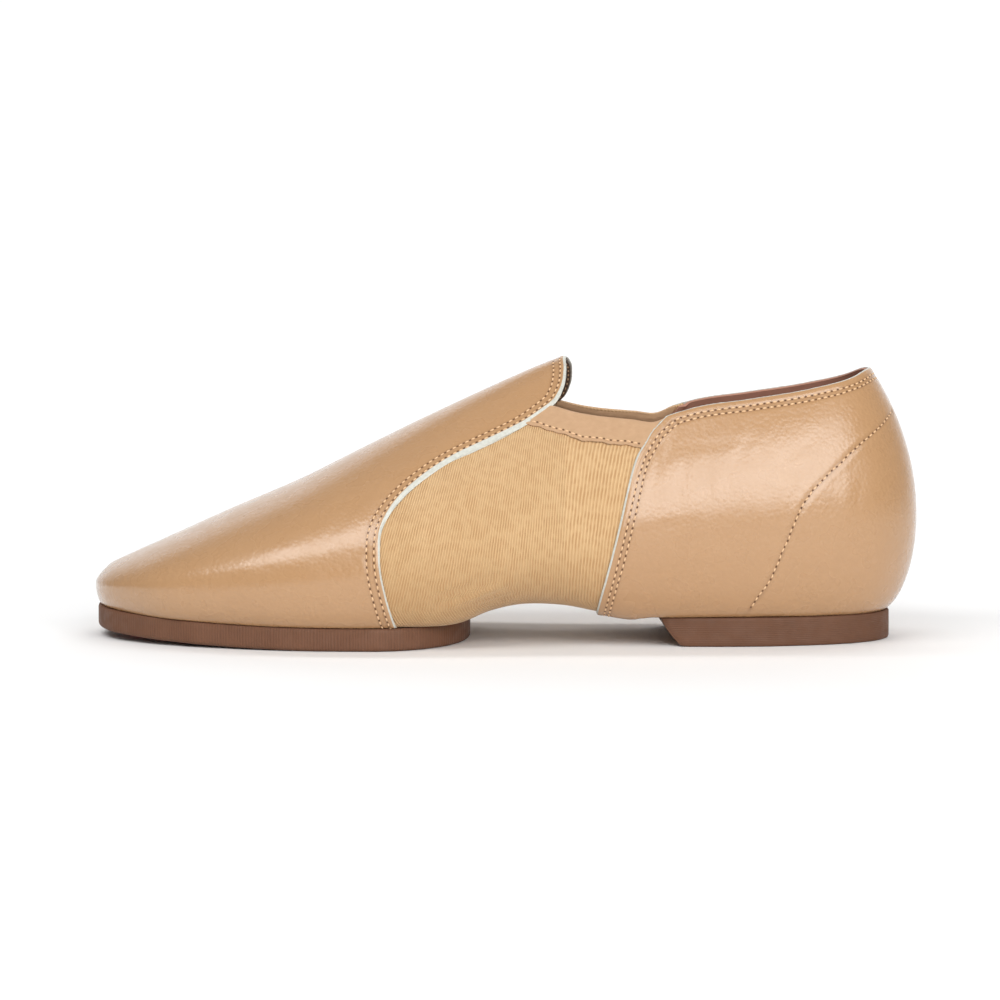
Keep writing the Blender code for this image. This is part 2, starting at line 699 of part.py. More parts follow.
def insert_solid(name, grow, low, collection, material):
    """The insert's egg-shaped outline, from low to its top, grown by a clearance."""
    half_width = plan_curve(INSERT_PLAN, "outer", INSERT_LENGTH, INSERT_WIDTH)
    rings = []
    for height in (low, OUTSOLE_FIELD_DEPTH + INSERT_DEPTH + grow):
        ring = []
        for side in (OUTER, INNER):
            points = []
            for i in range(INSERT_STATIONS + 1):
                u = (1 - math.cos(math.pi * i / INSERT_STATIONS)) / 2
                x = INSERT_START - grow + u * (INSERT_LENGTH + 2 * grow)
                axis = INSERT_FRONT_OFFSET + (INSERT_REAR_OFFSET - INSERT_FRONT_OFFSET) * u
                scale = 1 + 2 * grow / INSERT_WIDTH
                y = CENTRE + axis + side * half_width(u * INSERT_LENGTH) * scale
                back = OUTSOLE_SETBACK + x
                points.append(Vector((back - LENGTH / 2, y, toe_lift(back) + height)))
            ring.append(points)
        rings.append(ring)
    return layered_solid(name, rings, collection, material)


def build_insert(collection, material):
    return insert_solid("sole_insert", 0.0, INSERT_INSET, collection, material)


HEEL_STATIONS = 22
HEEL_START = LENGTH - HEEL_SETBACK - HEEL_LENGTH


def heel_ring(inset, front, height):
    """The heel's outline, drawn in by inset at its sides and by front at its breast."""
    breast = HEEL_START + HEEL_BREAST_SLOPE * (1 - height / HEEL_HEIGHT) ** 1.5 + front
    back = LENGTH - HEEL_SETBACK - inset
    shrink = 1 - 2 * inset / HEEL_SEAT_WIDTH
    ring = []
    for side, column in ((OUTER, "outer"), (INNER, "inner")):
        half_width = plan_curve(HEEL_PLAN, column, HEEL_LENGTH, HEEL_SEAT_WIDTH)
        points = []
        for i in range(HEEL_STATIONS + 1):
            share = i / HEEL_STATIONS
            x = breast + (back - breast) * math.sin(RIGHT_ANGLE * share)
            y = side * half_width(HEEL_LENGTH + min(0.0, x - back)) * shrink
            skew = -y * HEEL_BREAST_SKEW / HEEL_SEAT_WIDTH * (1 - share) ** 2
            points.append(Vector((x + skew - LENGTH / 2, CENTRE + y, height)))
        ring.append(points)
    return ring


def build_heel(collection, material):
    """The heel block: slanted breast, and a pad inside a sunk groove under it."""
    rim, groove_end = HEEL_RIM, HEEL_RIM + HEEL_GROOVE
    edge, lip, depth = HEEL_EDGE, HEEL_FRONT_RIM, HEEL_GROOVE_DEPTH
    rings = [heel_ring(inset, front, height) for inset, front, height in (
        (groove_end + depth, lip + 3 * depth, HEEL_PAD_DEPTH),
        (groove_end, lip + 2 * depth, depth),
        (rim + depth, lip + depth, depth),
        (rim, lip, 0.0),
        (edge, edge, 0.0),
        (0.0, 0.0, edge),
        (0.0, 0.0, HEEL_HEIGHT / 3),
        (0.0, 0.0, HEEL_HEIGHT * 2 / 3),
        (0.0, 0.0, HEEL_HEIGHT))]
    return layered_solid("heel", rings, collection, material)


def main():
    clear_scene()
    shoe = make_collection("jazz_shoe")
    cutters = make_collection("cutters")
    leather = make_material("tan_leather", *TAN_LEATHER)
    band = make_material("band_cloth", *BAND_CLOTH)
    build_upper(shoe, make_material("gore_cloth", *GORE_CLOTH))
    build_vamp(shoe, leather)
    build_quarter(shoe, leather)
    build_gore_band("gore_band_outer", OUTER, shoe, band)
    build_gore_band("gore_band_inner", INNER, shoe, band)
    build_insole(shoe, make_material("sock_leather", *SOCK_LEATHER))
    build_outsole(shoe, cutters, make_material("sole_rubber", *SOLE_RUBBER))
    build_insert(shoe, make_material("insert_rubber", *INSERT_RUBBER))
    build_heel(shoe, make_material("heel_rubber", *SOLE_RUBBER))


main()
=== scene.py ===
import math

import bpy
import numpy as np
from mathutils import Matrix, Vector


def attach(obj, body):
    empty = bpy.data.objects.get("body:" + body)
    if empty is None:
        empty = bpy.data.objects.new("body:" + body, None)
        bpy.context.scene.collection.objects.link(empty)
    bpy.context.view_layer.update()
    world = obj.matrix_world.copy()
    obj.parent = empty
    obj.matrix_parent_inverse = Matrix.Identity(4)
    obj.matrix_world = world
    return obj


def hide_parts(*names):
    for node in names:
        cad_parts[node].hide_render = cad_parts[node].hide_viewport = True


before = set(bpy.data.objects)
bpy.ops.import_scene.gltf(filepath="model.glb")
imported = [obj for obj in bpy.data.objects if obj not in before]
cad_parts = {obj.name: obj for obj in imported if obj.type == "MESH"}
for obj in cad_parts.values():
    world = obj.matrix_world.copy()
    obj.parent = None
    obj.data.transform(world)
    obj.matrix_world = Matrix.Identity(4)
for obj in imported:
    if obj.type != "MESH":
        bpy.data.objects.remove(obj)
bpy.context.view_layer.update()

# Sizes of the shoe in metres, as in its CAD source
LENGTH = 0.250
BALL_WIDTH = 0.0923
HEEL_WIDTH = 0.0715
INSTEP_HEIGHT = 0.0777
BACK_HEIGHT = 0.0733
ARCH_RISE = 0.0052
TOE_SPRING = 0.0028
OUTSOLE_HEIGHT = 0.0068
HEEL_HEIGHT = 0.0087
LEATHER = 0.0009
SOLE_LENGTH, SOLE_WIDTH, SOLE_START = 0.1142, 0.0850, 0.0008
INSERT_LENGTH, INSERT_WIDTH, INSERT_START = 0.0800, 0.0510, 0.0112
HEEL_LENGTH, HEEL_SEAT_WIDTH, HEEL_SETBACK = 0.0712, 0.0587, 0.0080
HEEL_START = LENGTH - HEEL_SETBACK - HEEL_LENGTH
SPRING_END = 0.34 * LENGTH
RISE_START, RISE_RUN = 0.46 * LENGTH, 0.21 * LENGTH
OUTER, INNER = -1, 1
RIGHT_ANGLE = math.pi / 2
MM = 0.001

# Sections of the last: place along the shoe, half-widths outside and inside, height of the
# widest line, tuck of the feather line, place of the rib's top, pinch under the ridge
FRONT_SECTIONS = (
    (0.000, 0.000, 0.000, 0.077, 0.033, 0.022, 0.00),
    (0.006, 0.104, 0.100, 0.078, 0.034, 0.026, 0.00),
    (0.020, 0.193, 0.176, 0.085, 0.038, 0.036, 0.01),
    (0.050, 0.297, 0.251, 0.098, 0.048, 0.062, 0.02),
    (0.100, 0.407, 0.327, 0.116, 0.060, 0.108, 0.05),
    (0.170, 0.487, 0.394, 0.142, 0.072, 0.174, 0.08),
    (0.250, 0.542, 0.438, 0.170, 0.080, 0.252, 0.12),
    (0.340, 0.556, 0.444, 0.198, 0.086, 0.340, 0.18),
    (0.430, 0.534, 0.422, 0.240, 0.110, 0.429, 0.26),
    (0.500, 0.490, 0.404, 0.283, 0.155, 0.498, 0.35),
    (0.570, 0.457, 0.393, 0.300, 0.165, 0.566, 0.45),
)
BACK_SECTIONS = (
    (0.640, 0.559, 0.503, 0.327, 0.175, 0.630, 0.54),
    (0.720, 0.522, 0.503, 0.345, 0.148, 0.700, 0.50),
    (0.800, 0.487, 0.510, 0.366, 0.140, 0.762, 0.45),
    (0.870, 0.442, 0.492, 0.379, 0.142, 0.806, 0.38),
    (0.920, 0.380, 0.439, 0.386, 0.148, 0.828, 0.30),
    (0.955, 0.310, 0.364, 0.386, 0.156, 0.836, 0.24),
    (0.980, 0.218, 0.249, 0.386, 0.164, 0.839, 0.20),
    (0.995, 0.115, 0.140, 0.386, 0.170, 0.840, 0.18),
    (1.000, 0.000, 0.000, 0.386, 0.173, 0.840, 0.175),
)
# Place along the shoe and height: of the ridge, of the crown behind it, of the collar, of the arch
RIDGE = ((0.000, 0.122), (0.020, 0.160), (0.050, 0.211), (0.100, 0.292), (0.170, 0.403),
         (0.250, 0.520), (0.340, 0.667), (0.430, 0.808), (0.500, 0.910), (0.570, 0.994))
CROWN = ((0.640, 1.120), (0.720, 1.200), (0.800, 1.243), (1.000, 1.250))
COLLAR = ((0.560, 0.850), (0.580, 0.823), (0.610, 0.800), (0.640, 0.787), (0.675, 0.788),
          (0.700, 0.820), (0.730, 0.850), (0.800, 0.886), (0.870, 0.925), (0.920, 0.968),
          (0.942, 1.000), (1.000, 1.010))
ARCH = ((0.000, 0.0), (0.430, 0.0), (0.455, 0.12), (0.490, 0.72), (0.530, 1.0),
        (0.575, 0.80), (0.620, 0.32), (0.665, 0.0), (1.000, 0.0))
# Edges of the leathers in the side view: height above the seat and place along the shoe
VAMP_EDGE = ((-0.20, 0.400), (0.015, 0.382), (0.122, 0.3736), (0.259, 0.3664), (0.347, 0.366),
             (0.436, 0.376), (0.507, 0.394), (0.575, 0.4196), (0.643, 0.454), (0.697, 0.4924),
             (0.745, 0.5264), (0.794, 0.551), (0.834, 0.567), (0.870, 0.573), (0.910, 0.5765),
             (0.950, 0.577), (1.000, 0.575), (1.200, 0.575))
QUARTER_EDGE = ((-0.20, 0.600), (0.023, 0.6156), (0.196, 0.6296), (0.375, 0.6428),
                (0.555, 0.6544), (0.610, 0.6584), (0.666, 0.6644), (0.711, 0.6724),
                (0.761, 0.6816), (0.802, 0.6936), (1.000, 0.7100))
# Where the throat's tab ends, as a share of the length
THROAT = 0.568
# Angle to which the collar line climbs in front of the throat, and the turns over which it does
FRONT_FOLD, FRONT_FOLD_RUN = 1.12, 0.20
# Under the foot the skin runs from the feather line to points on the middle line
ANCHOR_START, ANCHOR_SHARE = 0.09 * LENGTH, 0.80
# The inner side's seams lie a little further back
INNER_SHIFT = 0.0012
# Steps over which slopes are measured, and halvings with which a place is found
TURN_STEP, LEVEL_STEP, HALVINGS = 0.004, 0.02, 30


def smooth_curve(xs, ys):
    """A smooth curve through a table's rows, flat beyond its ends."""
    xs, ys = np.array(xs, float), np.array(ys, float)
    slope = np.diff(ys) / np.diff(xs)
    before, after = np.diff(xs)[:-1], np.diff(xs)[1:]
    tangent = (slope[:-1] * after + slope[1:] * before) / (before + after)
    limit = 3 * np.minimum(abs(slope[:-1]), abs(slope[1:]))
    limit[slope[:-1] * slope[1:] <= 0] = 0
    tangent = np.concatenate([slope[:1], np.clip(tangent, -limit, limit), slope[-1:]])
    x = np.linspace(xs[0], xs[-1], 3000)
    i = np.clip(np.searchsorted(xs, x, side="right") - 1, 0, len(xs) - 2)
    step, rise = xs[i + 1] - xs[i], ys[i + 1] - ys[i]
    u = (x - xs[i]) / step
    start, end = tangent[i] * step, tangent[i + 1] * step
    y = ys[i] + u * (start + u * (3 * rise - 2 * start - end + u * (start + end - 2 * rise)))
    return lambda place: np.interp(place, x, y)


def ramp(value, start, run):
    """0 up to start, 1 from start + run on, straight in between."""
    return np.clip((value - start) / run, 0, 1)


def eased(value, start, run):
    u = ramp(value, start, run)
    return u * u * (3 - 2 * u)


def side_of(u):
    return np.where(u < 0, OUTER, INNER)


def turn_of(along):
    """Turns run from 0 at the toe to 1 at the back, closer together at both ends."""
    return np.arccos(1 - 2 * np.clip(along, 0, 1)) / math.pi


def section_curve(column, front_size, back_size):
    turns = [turn_of(row[0]) for row in FRONT_SECTIONS + BACK_SECTIONS]
    values = [row[column] * front_size for row in FRONT_SECTIONS]
    values += [row[column] * back_size for row in BACK_SECTIONS]
    return smooth_curve(turns, values)


def height_curve(front, front_size, back=(), back_size=1.0):
    xs = [row[0] * LENGTH for row in front + back]
    return smooth_curve(xs, [row[1] * front_size for row in front]
                        + [row[1] * back_size for row in back])


outer_width = section_curve(1, BALL_WIDTH, HEEL_WIDTH)
inner_width = section_curve(2, BALL_WIDTH, HEEL_WIDTH)
girth_height = section_curve(3, INSTEP_HEIGHT, BACK_HEIGHT)
tuck_depth = section_curve(4, BALL_WIDTH, HEEL_WIDTH)
top_along = section_curve(5, LENGTH, LENGTH)
pinch_share = section_curve(6, 1.0, 1.0)
ridge_height = height_curve(RIDGE, INSTEP_HEIGHT, CROWN, BACK_HEIGHT)
collar_height = height_curve(COLLAR, BACK_HEIGHT)
arch_lift = height_curve(ARCH, ARCH_RISE)
vamp_edge = smooth_curve([row[0] * INSTEP_HEIGHT for row in VAMP_EDGE],
                         [row[1] * LENGTH for row in VAMP_EDGE])
quarter_edge = smooth_curve([row[0] * BACK_HEIGHT for row in QUARTER_EDGE],
                            [row[1] * LENGTH for row in QUARTER_EDGE])
TURNS = np.linspace(0, 1, 401)
CENTRE = (outer_width(TURNS).max() - inner_width(TURNS).max()) / 2


def toe_lift(x):
    return TOE_SPRING * (1 - ramp(x, 0, SPRING_END)) ** 2


def seat(x):
    """Height of the sole's and the heel's top at x."""
    rise = (HEEL_HEIGHT - OUTSOLE_HEIGHT) * eased(x, RISE_START, RISE_RUN)
    return toe_lift(x) + OUTSOLE_HEIGHT + rise


def centre_line(x):
    t = turn_of(x / LENGTH)
    return CENTRE + (inner_width(t) - outer_width(t)) / 2


def outline(t, side):
    x = LENGTH * (1 - np.cos(math.pi * t)) / 2
    half = (outer_width(t) + inner_width(t)) / 2
    return x, centre_line(x) + side * half


def outline_inward(t, side):
    step = np.clip(np.minimum(t, 1 - t), 1e-6, TURN_STEP)
    x0, y0 = outline(np.clip(t - step, 0, 1), side)
    x1, y1 = outline(np.clip(t + step, 0, 1), side)
    run = np.hypot(x1 - x0, y1 - y0)
    return side * (y1 - y0) / run, -side * (x1 - x0) / run


def crown_point(t, side, angle):
    """The last above its widest line: angle 0 there, a right angle on the ridge."""
    girth_x, girth_y = outline(t, side)
    top_x = top_along(t)
    top_y = centre_line(top_x)
    reach = np.cos(angle) * (1 - pinch_share(t) * np.sin(angle) ** 2)
    x = top_x + (girth_x - top_x) * reach
    y = top_y + (girth_y - top_y) * reach
    base = seat(girth_x) + girth_height(t)
    return x, y, base + (seat(x) + ridge_height(x) - base) * np.sin(angle)


def bisect(low, high, is_past):
    """The place between low and high from which on is_past holds."""
    for _ in range(HALVINGS):
        middle = (low + high) / 2
        past = is_past(middle)
        high = np.where(past, middle, high)
        low = np.where(past, low, middle)
    return (low + high) / 2


THROAT_TURN = float(bisect(0.3, 0.7, lambda t: top_along(t) > THROAT * LENGTH))
COLLAR_TURNS = np.linspace(THROAT_TURN, 1, 241)


def collar_angles(side):
    def is_past(angle):
        x, _, z = crown_point(COLLAR_TURNS, side, angle)
        return z > seat(x) + collar_height(x)

    return bisect(0 * COLLAR_TURNS, 0 * COLLAR_TURNS + RIGHT_ANGLE, is_past)


COLLAR_ANGLES = {side: collar_angles(side) for side in (OUTER, INNER)}


def collar_angle(t, side):
    """The angle of the collar line, which climbs towards the ridge in front of the throat."""
    behind = np.where(side < 0, np.interp(t, COLLAR_TURNS, COLLAR_ANGLES[OUTER]),
                      np.interp(t, COLLAR_TURNS, COLLAR_ANGLES[INNER]))
    return behind + (FRONT_FOLD - behind) * eased(THROAT_TURN - t, 0, FRONT_FOLD_RUN)


def bare_skin(t, level, side):
    """The leather's outer face: level 0 under the foot, 1 feather line, 2 widest, 3 collar
    line, 4 ridge; x is measured from the toe."""
    girth_x, girth_y = outline(t, side)
    in_x, in_y = outline_inward(t, side)
    tuck = tuck_depth(t)
    feather_x, feather_y = girth_x + in_x * tuck, girth_y + in_y * tuck
    anchor_x = ANCHOR_START + ANCHOR_SHARE * girth_x
    anchor_y = centre_line(anchor_x)
    reach = np.clip(level, 0, 1)
    x0 = anchor_x + (feather_x - anchor_x) * reach
    y0 = anchor_y + (feather_y - anchor_y) * reach
    z0 = seat(x0) + arch_lift(x0) - LEATHER
    angle = RIGHT_ANGLE * np.clip(level - 1, 0, 1)
    out = tuck * np.sin(angle)
    x1, y1 = feather_x - in_x * out, feather_y - in_y * out
    low = seat(feather_x) + arch_lift(feather_x) - LEATHER
    z1 = low + (seat(girth_x) + girth_height(t) - low) * (1 - np.cos(angle))
    fold = collar_angle(t, side)
    angle = np.where(level <= 3, fold * (level - 2), fold + (RIGHT_ANGLE - fold) * (level - 3))
    x2, y2, z2 = crown_point(t, side, np.maximum(angle, 0))
    parts = [np.where(level <= 1, a, np.where(level <= 2, b, c))
             for a, b, c in ((x0, x1, x2), (y0, y1, y2), (z0, z1, z2))]
    return np.stack(parts, axis=-1)


def skin_normal(t, level, side):
    t_in, level_in = np.clip(t, TURN_STEP, 1 - TURN_STEP), np.clip(level, LEVEL_STEP, 4 - LEVEL_STEP)
    along = bare_skin(t_in + TURN_STEP, level_in, side) - bare_skin(t_in - TURN_STEP, level_in, side)
    up = bare_skin(t_in, level_in + LEVEL_STEP, side) - bare_skin(t_in, level_in - LEVEL_STEP, side)
    normal = np.cross(along, up) * np.where(side < 0, 1, -1)[..., None]
    on_seam = (t <= 0) | (t >= 1) | (level <= 0) | (level >= 4)
    normal[..., 1] = np.where(on_seam, 0, normal[..., 1])
    return normal / np.linalg.norm(normal, axis=-1, keepdims=True)


def skin(t, level, side, depth=0.0):
    """Points that lie depth under the leather's outer face, in the shoe's own frame."""
    t, level, side = np.broadcast_arrays(np.asarray(t, float), level, side)
    points = bare_skin(t, level, side) - np.asarray(depth)[..., None] * skin_normal(t, level, side)
    points[..., 0] -= LENGTH / 2
    return points


LEVELS = np.linspace(0.0, 4.0, 401)


def edge_turns(edge, side):
    """The rib on which a leather edge, drawn in the side view, crosses each level."""
    shift = INNER_SHIFT if side == INNER else 0.0

    def is_past(t):
        point = bare_skin(t, LEVELS, side)
        fade = ramp(4.0 - LEVELS, 0, 0.4)
        return point[:, 0] > edge(point[:, 2] - seat(point[:, 0])) + shift * fade

    return bisect(0 * LEVELS + 0.02, 0 * LEVELS + 0.98, is_past)


EDGES = {(name, side): edge_turns(edge, side) for name, edge in
         (("vamp", vamp_edge), ("quarter", quarter_edge)) for side in (OUTER, INNER)}


def edge_turn(name, level, side):
    low = np.interp(level, LEVELS, EDGES[name, OUTER])
    high = np.interp(level, LEVELS, EDGES[name, INNER])
    return np.where(side < 0, low, high)


# Tools of the bench: selecting, shaping and finishing pieces


def select_only(piece):
    bpy.ops.object.select_all(action="DESELECT")
    piece.select_set(True)
    bpy.context.view_layer.objects.active = piece


def points_of(piece):
    co = np.empty(len(piece.data.vertices) * 3)
    piece.data.vertices.foreach_get("co", co)
    return co.reshape(-1, 3)


def normals_of(piece):
    normals = np.empty(len(piece.data.vertices) * 3)
    piece.data.vertices.foreach_get("normal", normals)
    return normals.reshape(-1, 3)


def move_points(piece, points):
    piece.data.vertices.foreach_set("co", np.ascontiguousarray(points, float).ravel())
    piece.data.update()


def note(piece, name, values):
    """Keeps one number for each vertex, which a material reads."""
    values = np.asarray(values, np.float32)
    layer = piece.data.attributes.get(name) or piece.data.attributes.new(name, "FLOAT", "POINT")
    layer.data.foreach_set("value", values)


def lay_sheet(name, columns, rows, place):
    """A grid of that many faces laid on the last: place gives points for u and v, -1 to 1."""
    bpy.ops.object.select_all(action="DESELECT")
    bpy.ops.mesh.primitive_grid_add(x_subdivisions=columns, y_subdivisions=rows, size=2)
    sheet = bpy.context.object
    sheet.name = name
    flat = points_of(sheet)
    move_points(sheet, place(flat[:, 0], flat[:, 1]))
    return sheet


def weld(piece):
    """Joins the points that meet at seams and poles, and turns the faces the same way."""
    select_only(piece)
    bpy.ops.object.mode_set(mode="EDIT")
    bpy.ops.mesh.select_all(action="SELECT")
    bpy.ops.mesh.remove_doubles(threshold=0.02 * MM)
    bpy.ops.mesh.select_all(action="SELECT")
    bpy.ops.mesh.normals_make_consistent(inside=False)
    bpy.ops.object.mode_set(mode="OBJECT")


def face_outwards(piece):
    """Welds an open shell and turns its faces away from the shoe's middle."""
    weld(piece)
    away = points_of(piece) - np.array([0.0, CENTRE, 30 * MM])
    away[:, 0] *= 0.2
    if (normals_of(piece) * away).sum() < 0:
        bpy.ops.object.mode_set(mode="EDIT")
        bpy.ops.mesh.select_all(action="SELECT")
        bpy.ops.mesh.flip_normals()
        bpy.ops.object.mode_set(mode="OBJECT")


def thicken(piece, wall, thin_group=False, even=True):
    """Gives a shell its wall inwards, thinner where the group wall says so."""
    select_only(piece)
    solid = piece.modifiers.new("Wall", "SOLIDIFY")
    solid.thickness = wall
    solid.offset = -1
    solid.use_even_offset = even
    solid.material_offset_rim = 1
    if thin_group:
        solid.vertex_group = "wall"
    bpy.ops.object.modifier_apply(modifier="Wall")


def distance_to(points, line):
    """Distance from each point to the nearest point of a line, and which point that is."""
    best = np.full(len(points), np.inf)
    nearest = np.zeros(len(points), int)
    portion = 4000
    for start in range(0, len(points), portion):
        part = slice(start, start + portion)
        far = ((points[part, None, :] - line[None, :, :]) ** 2).sum(-1)
        nearest[part] = far.argmin(1)
        best[part] = np.sqrt(far.min(1))
    return best, nearest


def ridge(distance, place, width):
    """1 where the distance is place, falling off smoothly over width."""
    return np.exp(-((distance - place) / width) ** 2)


def dent(points, x, z, long, wide, lean):
    """How much a crease at x, z in the side view takes in each point."""
    c, s = math.cos(math.radians(lean)), math.sin(math.radians(lean))
    dx, dz = points[:, 0] - x * MM, points[:, 2] - z * MM
    a, b = dx * c + dz * s, -dx * s + dz * c
    return np.exp(-(a / (long * MM)) ** 2 - (b / (wide * MM)) ** 2)


def finish_piece(piece, materials, angle, replaces=()):
    piece.data.materials.clear()
    for material in materials:
        piece.data.materials.append(material)
    select_only(piece)
    bpy.ops.object.shade_smooth_by_angle(angle=math.radians(angle))
    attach(piece, "root")
    if replaces:
        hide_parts(*replaces)
    return piece


# Materials


class Finish:
    """A material with its nodes, built up step by step."""

    def __init__(self, name, colour, roughness):
        self.material = bpy.data.materials.new(name)
        self.material.use_nodes = True
        self.tree = self.material.node_tree
        self.shader = self.tree.nodes["Principled BSDF"]
        self.shader.inputs["Base Color"].default_value = (*colour, 1)
        self.shader.inputs["Roughness"].default_value = roughness
        self.place = self.node("ShaderNodeTexCoord").outputs["Object"]
        self.height = None

    def node(self, kind, **settings):
        made = self.tree.nodes.new(kind)
        for key, value in settings.items():
            setattr(made, key, value)
        return made

    def link(self, out, into):
        self.tree.links.new(out, into)

    def set(self, name, value):
        self.shader.inputs[name].default_value = value

    def attribute(self, name):
        return self.node("ShaderNodeAttribute", attribute_name=name).outputs["Fac"]

    def up(self):
        """Height above the floor."""
        made = self.node("ShaderNodeSeparateXYZ")
        self.link(self.place, made.inputs[0])
        return made.outputs["Z"]

    def maths(self, kind, a, b=0.0):
        made = self.node("ShaderNodeMath", operation=kind)
        for socket, value in zip(made.inputs, (a, b)):
            if isinstance(value, (int, float)):
                socket.default_value = value
            else:
                self.link(value, socket)
        return made.outputs[0]

    def stripes(self, value, pitch):
        """Even waves between 0 and 1, one for each pitch of the value."""
        wave = self.maths("SINE", self.maths("MULTIPLY", value, math.tau / pitch))
        raised = self.maths("MULTIPLY_ADD", wave, 0.5)
        raised.node.inputs[2].default_value = 0.5
        return raised

    def stretched(self, x, y, z):
        made = self.node("ShaderNodeMapping")
        made.inputs["Scale"].default_value = (x, y, z)
        self.link(self.place, made.inputs["Vector"])
        return made.outputs[0]

    def noise(self, scale, detail=2.0, rough=0.5, place=None):
        made = self.node("ShaderNodeTexNoise")
        made.inputs["Scale"].default_value = scale
        made.inputs["Detail"].default_value = detail
        made.inputs["Roughness"].default_value = rough
        self.link(place or self.place, made.inputs["Vector"])
        return made.outputs["Fac"]

    def cells(self, scale, place=None):
        made = self.node("ShaderNodeTexVoronoi")
        made.inputs["Scale"].default_value = scale
        self.link(place or self.place, made.inputs["Vector"])
        return made.outputs["Distance"]

    def spread(self, value, low, high, to_low=0.0, to_high=1.0):
        made = self.node("ShaderNodeMapRange", interpolation_type="SMOOTHSTEP")
        for name, number in (("From Min", low), ("From Max", high),
                             ("To Min", to_low), ("To Max", to_high)):
            made.inputs[name].default_value = number
        self.link(value, made.inputs["Value"])
        return made.outputs[0]

    def mix(self, factor, a, b):
        made = self.node("ShaderNodeMix", data_type="RGBA")
        for socket, value in ((made.inputs[0], factor), (made.inputs[6], a), (made.inputs[7], b)):
            if isinstance(value, tuple):
                socket.default_value = (*value, 1)
            elif isinstance(value, (int, float)):
                socket.default_value = value
            else:
                self.link(value, socket)
        return made.outputs[2]

    def bump(self, height, distance, strength=1.0):
        made = self.node("ShaderNodeBump")
        made.inputs["Distance"].default_value = distance
        made.inputs["Strength"].default_value = strength
        self.link(height, made.inputs["Height"])
        if self.height:
            self.link(self.height, made.inputs["Normal"])
        self.height = made.outputs[0]
        self.link(self.height, self.shader.inputs["Normal"])

    def colour(self, value):
        self.link(value, self.shader.inputs["Base Color"])

    def roughness(self, value):
        self.link(value, self.shader.inputs["Roughness"])


def tan_leather():
    hide = Finish("tan_leather", (0.46, 0.262, 0.126), 0.32)
    warm = hide.mix(hide.noise(26, 2), (0.49, 0.285, 0.140), (0.43, 0.240, 0.112))
    tone_and_seam_shade = hide.mix(hide.noise(240, 1), warm, (0.445, 0.250, 0.118))
    # Painted shade: the leather is darkened along the pressed rows of stitches and the counter seam,
    # where the grooves hold shade
    tone_and_seam_shade = hide.mix(hide.maths("MULTIPLY", hide.attribute("seam"), 0.55), tone_and_seam_shade,
                     (0.25, 0.125, 0.052))
    cut = hide.spread(hide.attribute("cut"), 0.82, 1.0, 1.0, 0.0)
    fuzz = hide.mix(hide.noise(1100, 1), (0.46, 0.46, 0.41), (0.68, 0.68, 0.61))
    hide.colour(hide.mix(cut, tone_and_seam_shade, fuzz))
    gloss = hide.spread(hide.noise(160, 1), 0.3, 0.7, 0.25, 0.33)
    hide.roughness(hide.maths("MAXIMUM", gloss, hide.maths("MULTIPLY", cut, 0.85)))
    hide.bump(hide.noise(110, 2), 0.00030, 0.5)
    pebbles = hide.maths("SUBTRACT", 1.0, hide.cells(850))
    hide.bump(pebbles, 0.00014, 0.6)
    hide.bump(hide.noise(480, 1, 0.5, hide.stretched(1, 1, 0.55)), 0.00016, 0.6)
    for name, value in (("Specular IOR Level", 0.5), ("Coat Weight", 0.7), ("Coat Roughness", 0.20),
                        ("Coat IOR", 1.5)):
        hide.set(name, value)
    return hide.material


def shaded_raw_edge():
    # Rim faces of the leather walls: the raw edge's grey-green, painted darker as the shade line beside
    # the cut edges
    cut = Finish("raw_edge_painted_shade", (0.80, 0.80, 0.68), 0.85)
    cut.colour(cut.mix(cut.noise(1200, 3), (0.26, 0.27, 0.20), (0.50, 0.50, 0.41)))
    cut.bump(cut.noise(2200, 3), 0.0001)
    return cut.material


def gore_cloth():
    knit = Finish("gore_knit", (0.74, 0.48, 0.25), 0.88)
    waves = knit.maths("MULTIPLY", knit.noise(260, 1), 0.30)
    wale = knit.stripes(knit.maths("ADD", knit.attribute("rib"), waves), 0.85)
    loops = knit.stripes(knit.attribute("run"), 0.62)
    base = knit.mix(knit.noise(60, 2), (0.61, 0.395, 0.195), (0.71, 0.485, 0.255))
    # Painted shade: the knit is darkened towards the sole
    base = knit.mix(knit.spread(knit.up(), 0.012, 0.036, 0.55, 0.0), base, (0.44, 0.262, 0.115))
    patchy = knit.spread(knit.noise(420, 1), 0.35, 0.65, 0.55, 0.95)
    # Painted shade: the furrows between the ribs are darkened, more strongly in some patches
    furrow_shade = knit.mix(wale, (0.44, 0.235, 0.095), base)
    knit.colour(knit.mix(patchy, base, furrow_shade))
    knit.bump(wale, 0.00020, 0.8)
    knit.bump(loops, 0.00005, 0.5)
    knit.bump(knit.noise(900, 1), 0.00008, 0.6)
    knit.set("Sheen Weight", 0.25)
    knit.set("Sheen Roughness", 0.5)
    return knit.material


def band_cloth():
    knit = Finish("band_knit", (0.48, 0.295, 0.165), 0.85)
    knit.colour(knit.mix(knit.noise(500, 1), (0.44, 0.265, 0.142), (0.53, 0.33, 0.19)))
    knit.bump(knit.noise(900, 1), 0.0001, 0.7)
    knit.bump(knit.cells(900, knit.stretched(0.6, 1, 1.6)), 0.00010, 0.6)
    knit.set("Sheen Weight", 0.2)
    knit.set("Sheen Roughness", 0.5)
    return knit.material


def lining_leather(name, colour, dark):
    lining = Finish(name, colour, 0.75)
    lining.colour(lining.mix(lining.noise(90, 2), dark, colour))
    lining.bump(lining.noise(700, 1), 0.0001, 0.6)
    return lining.material


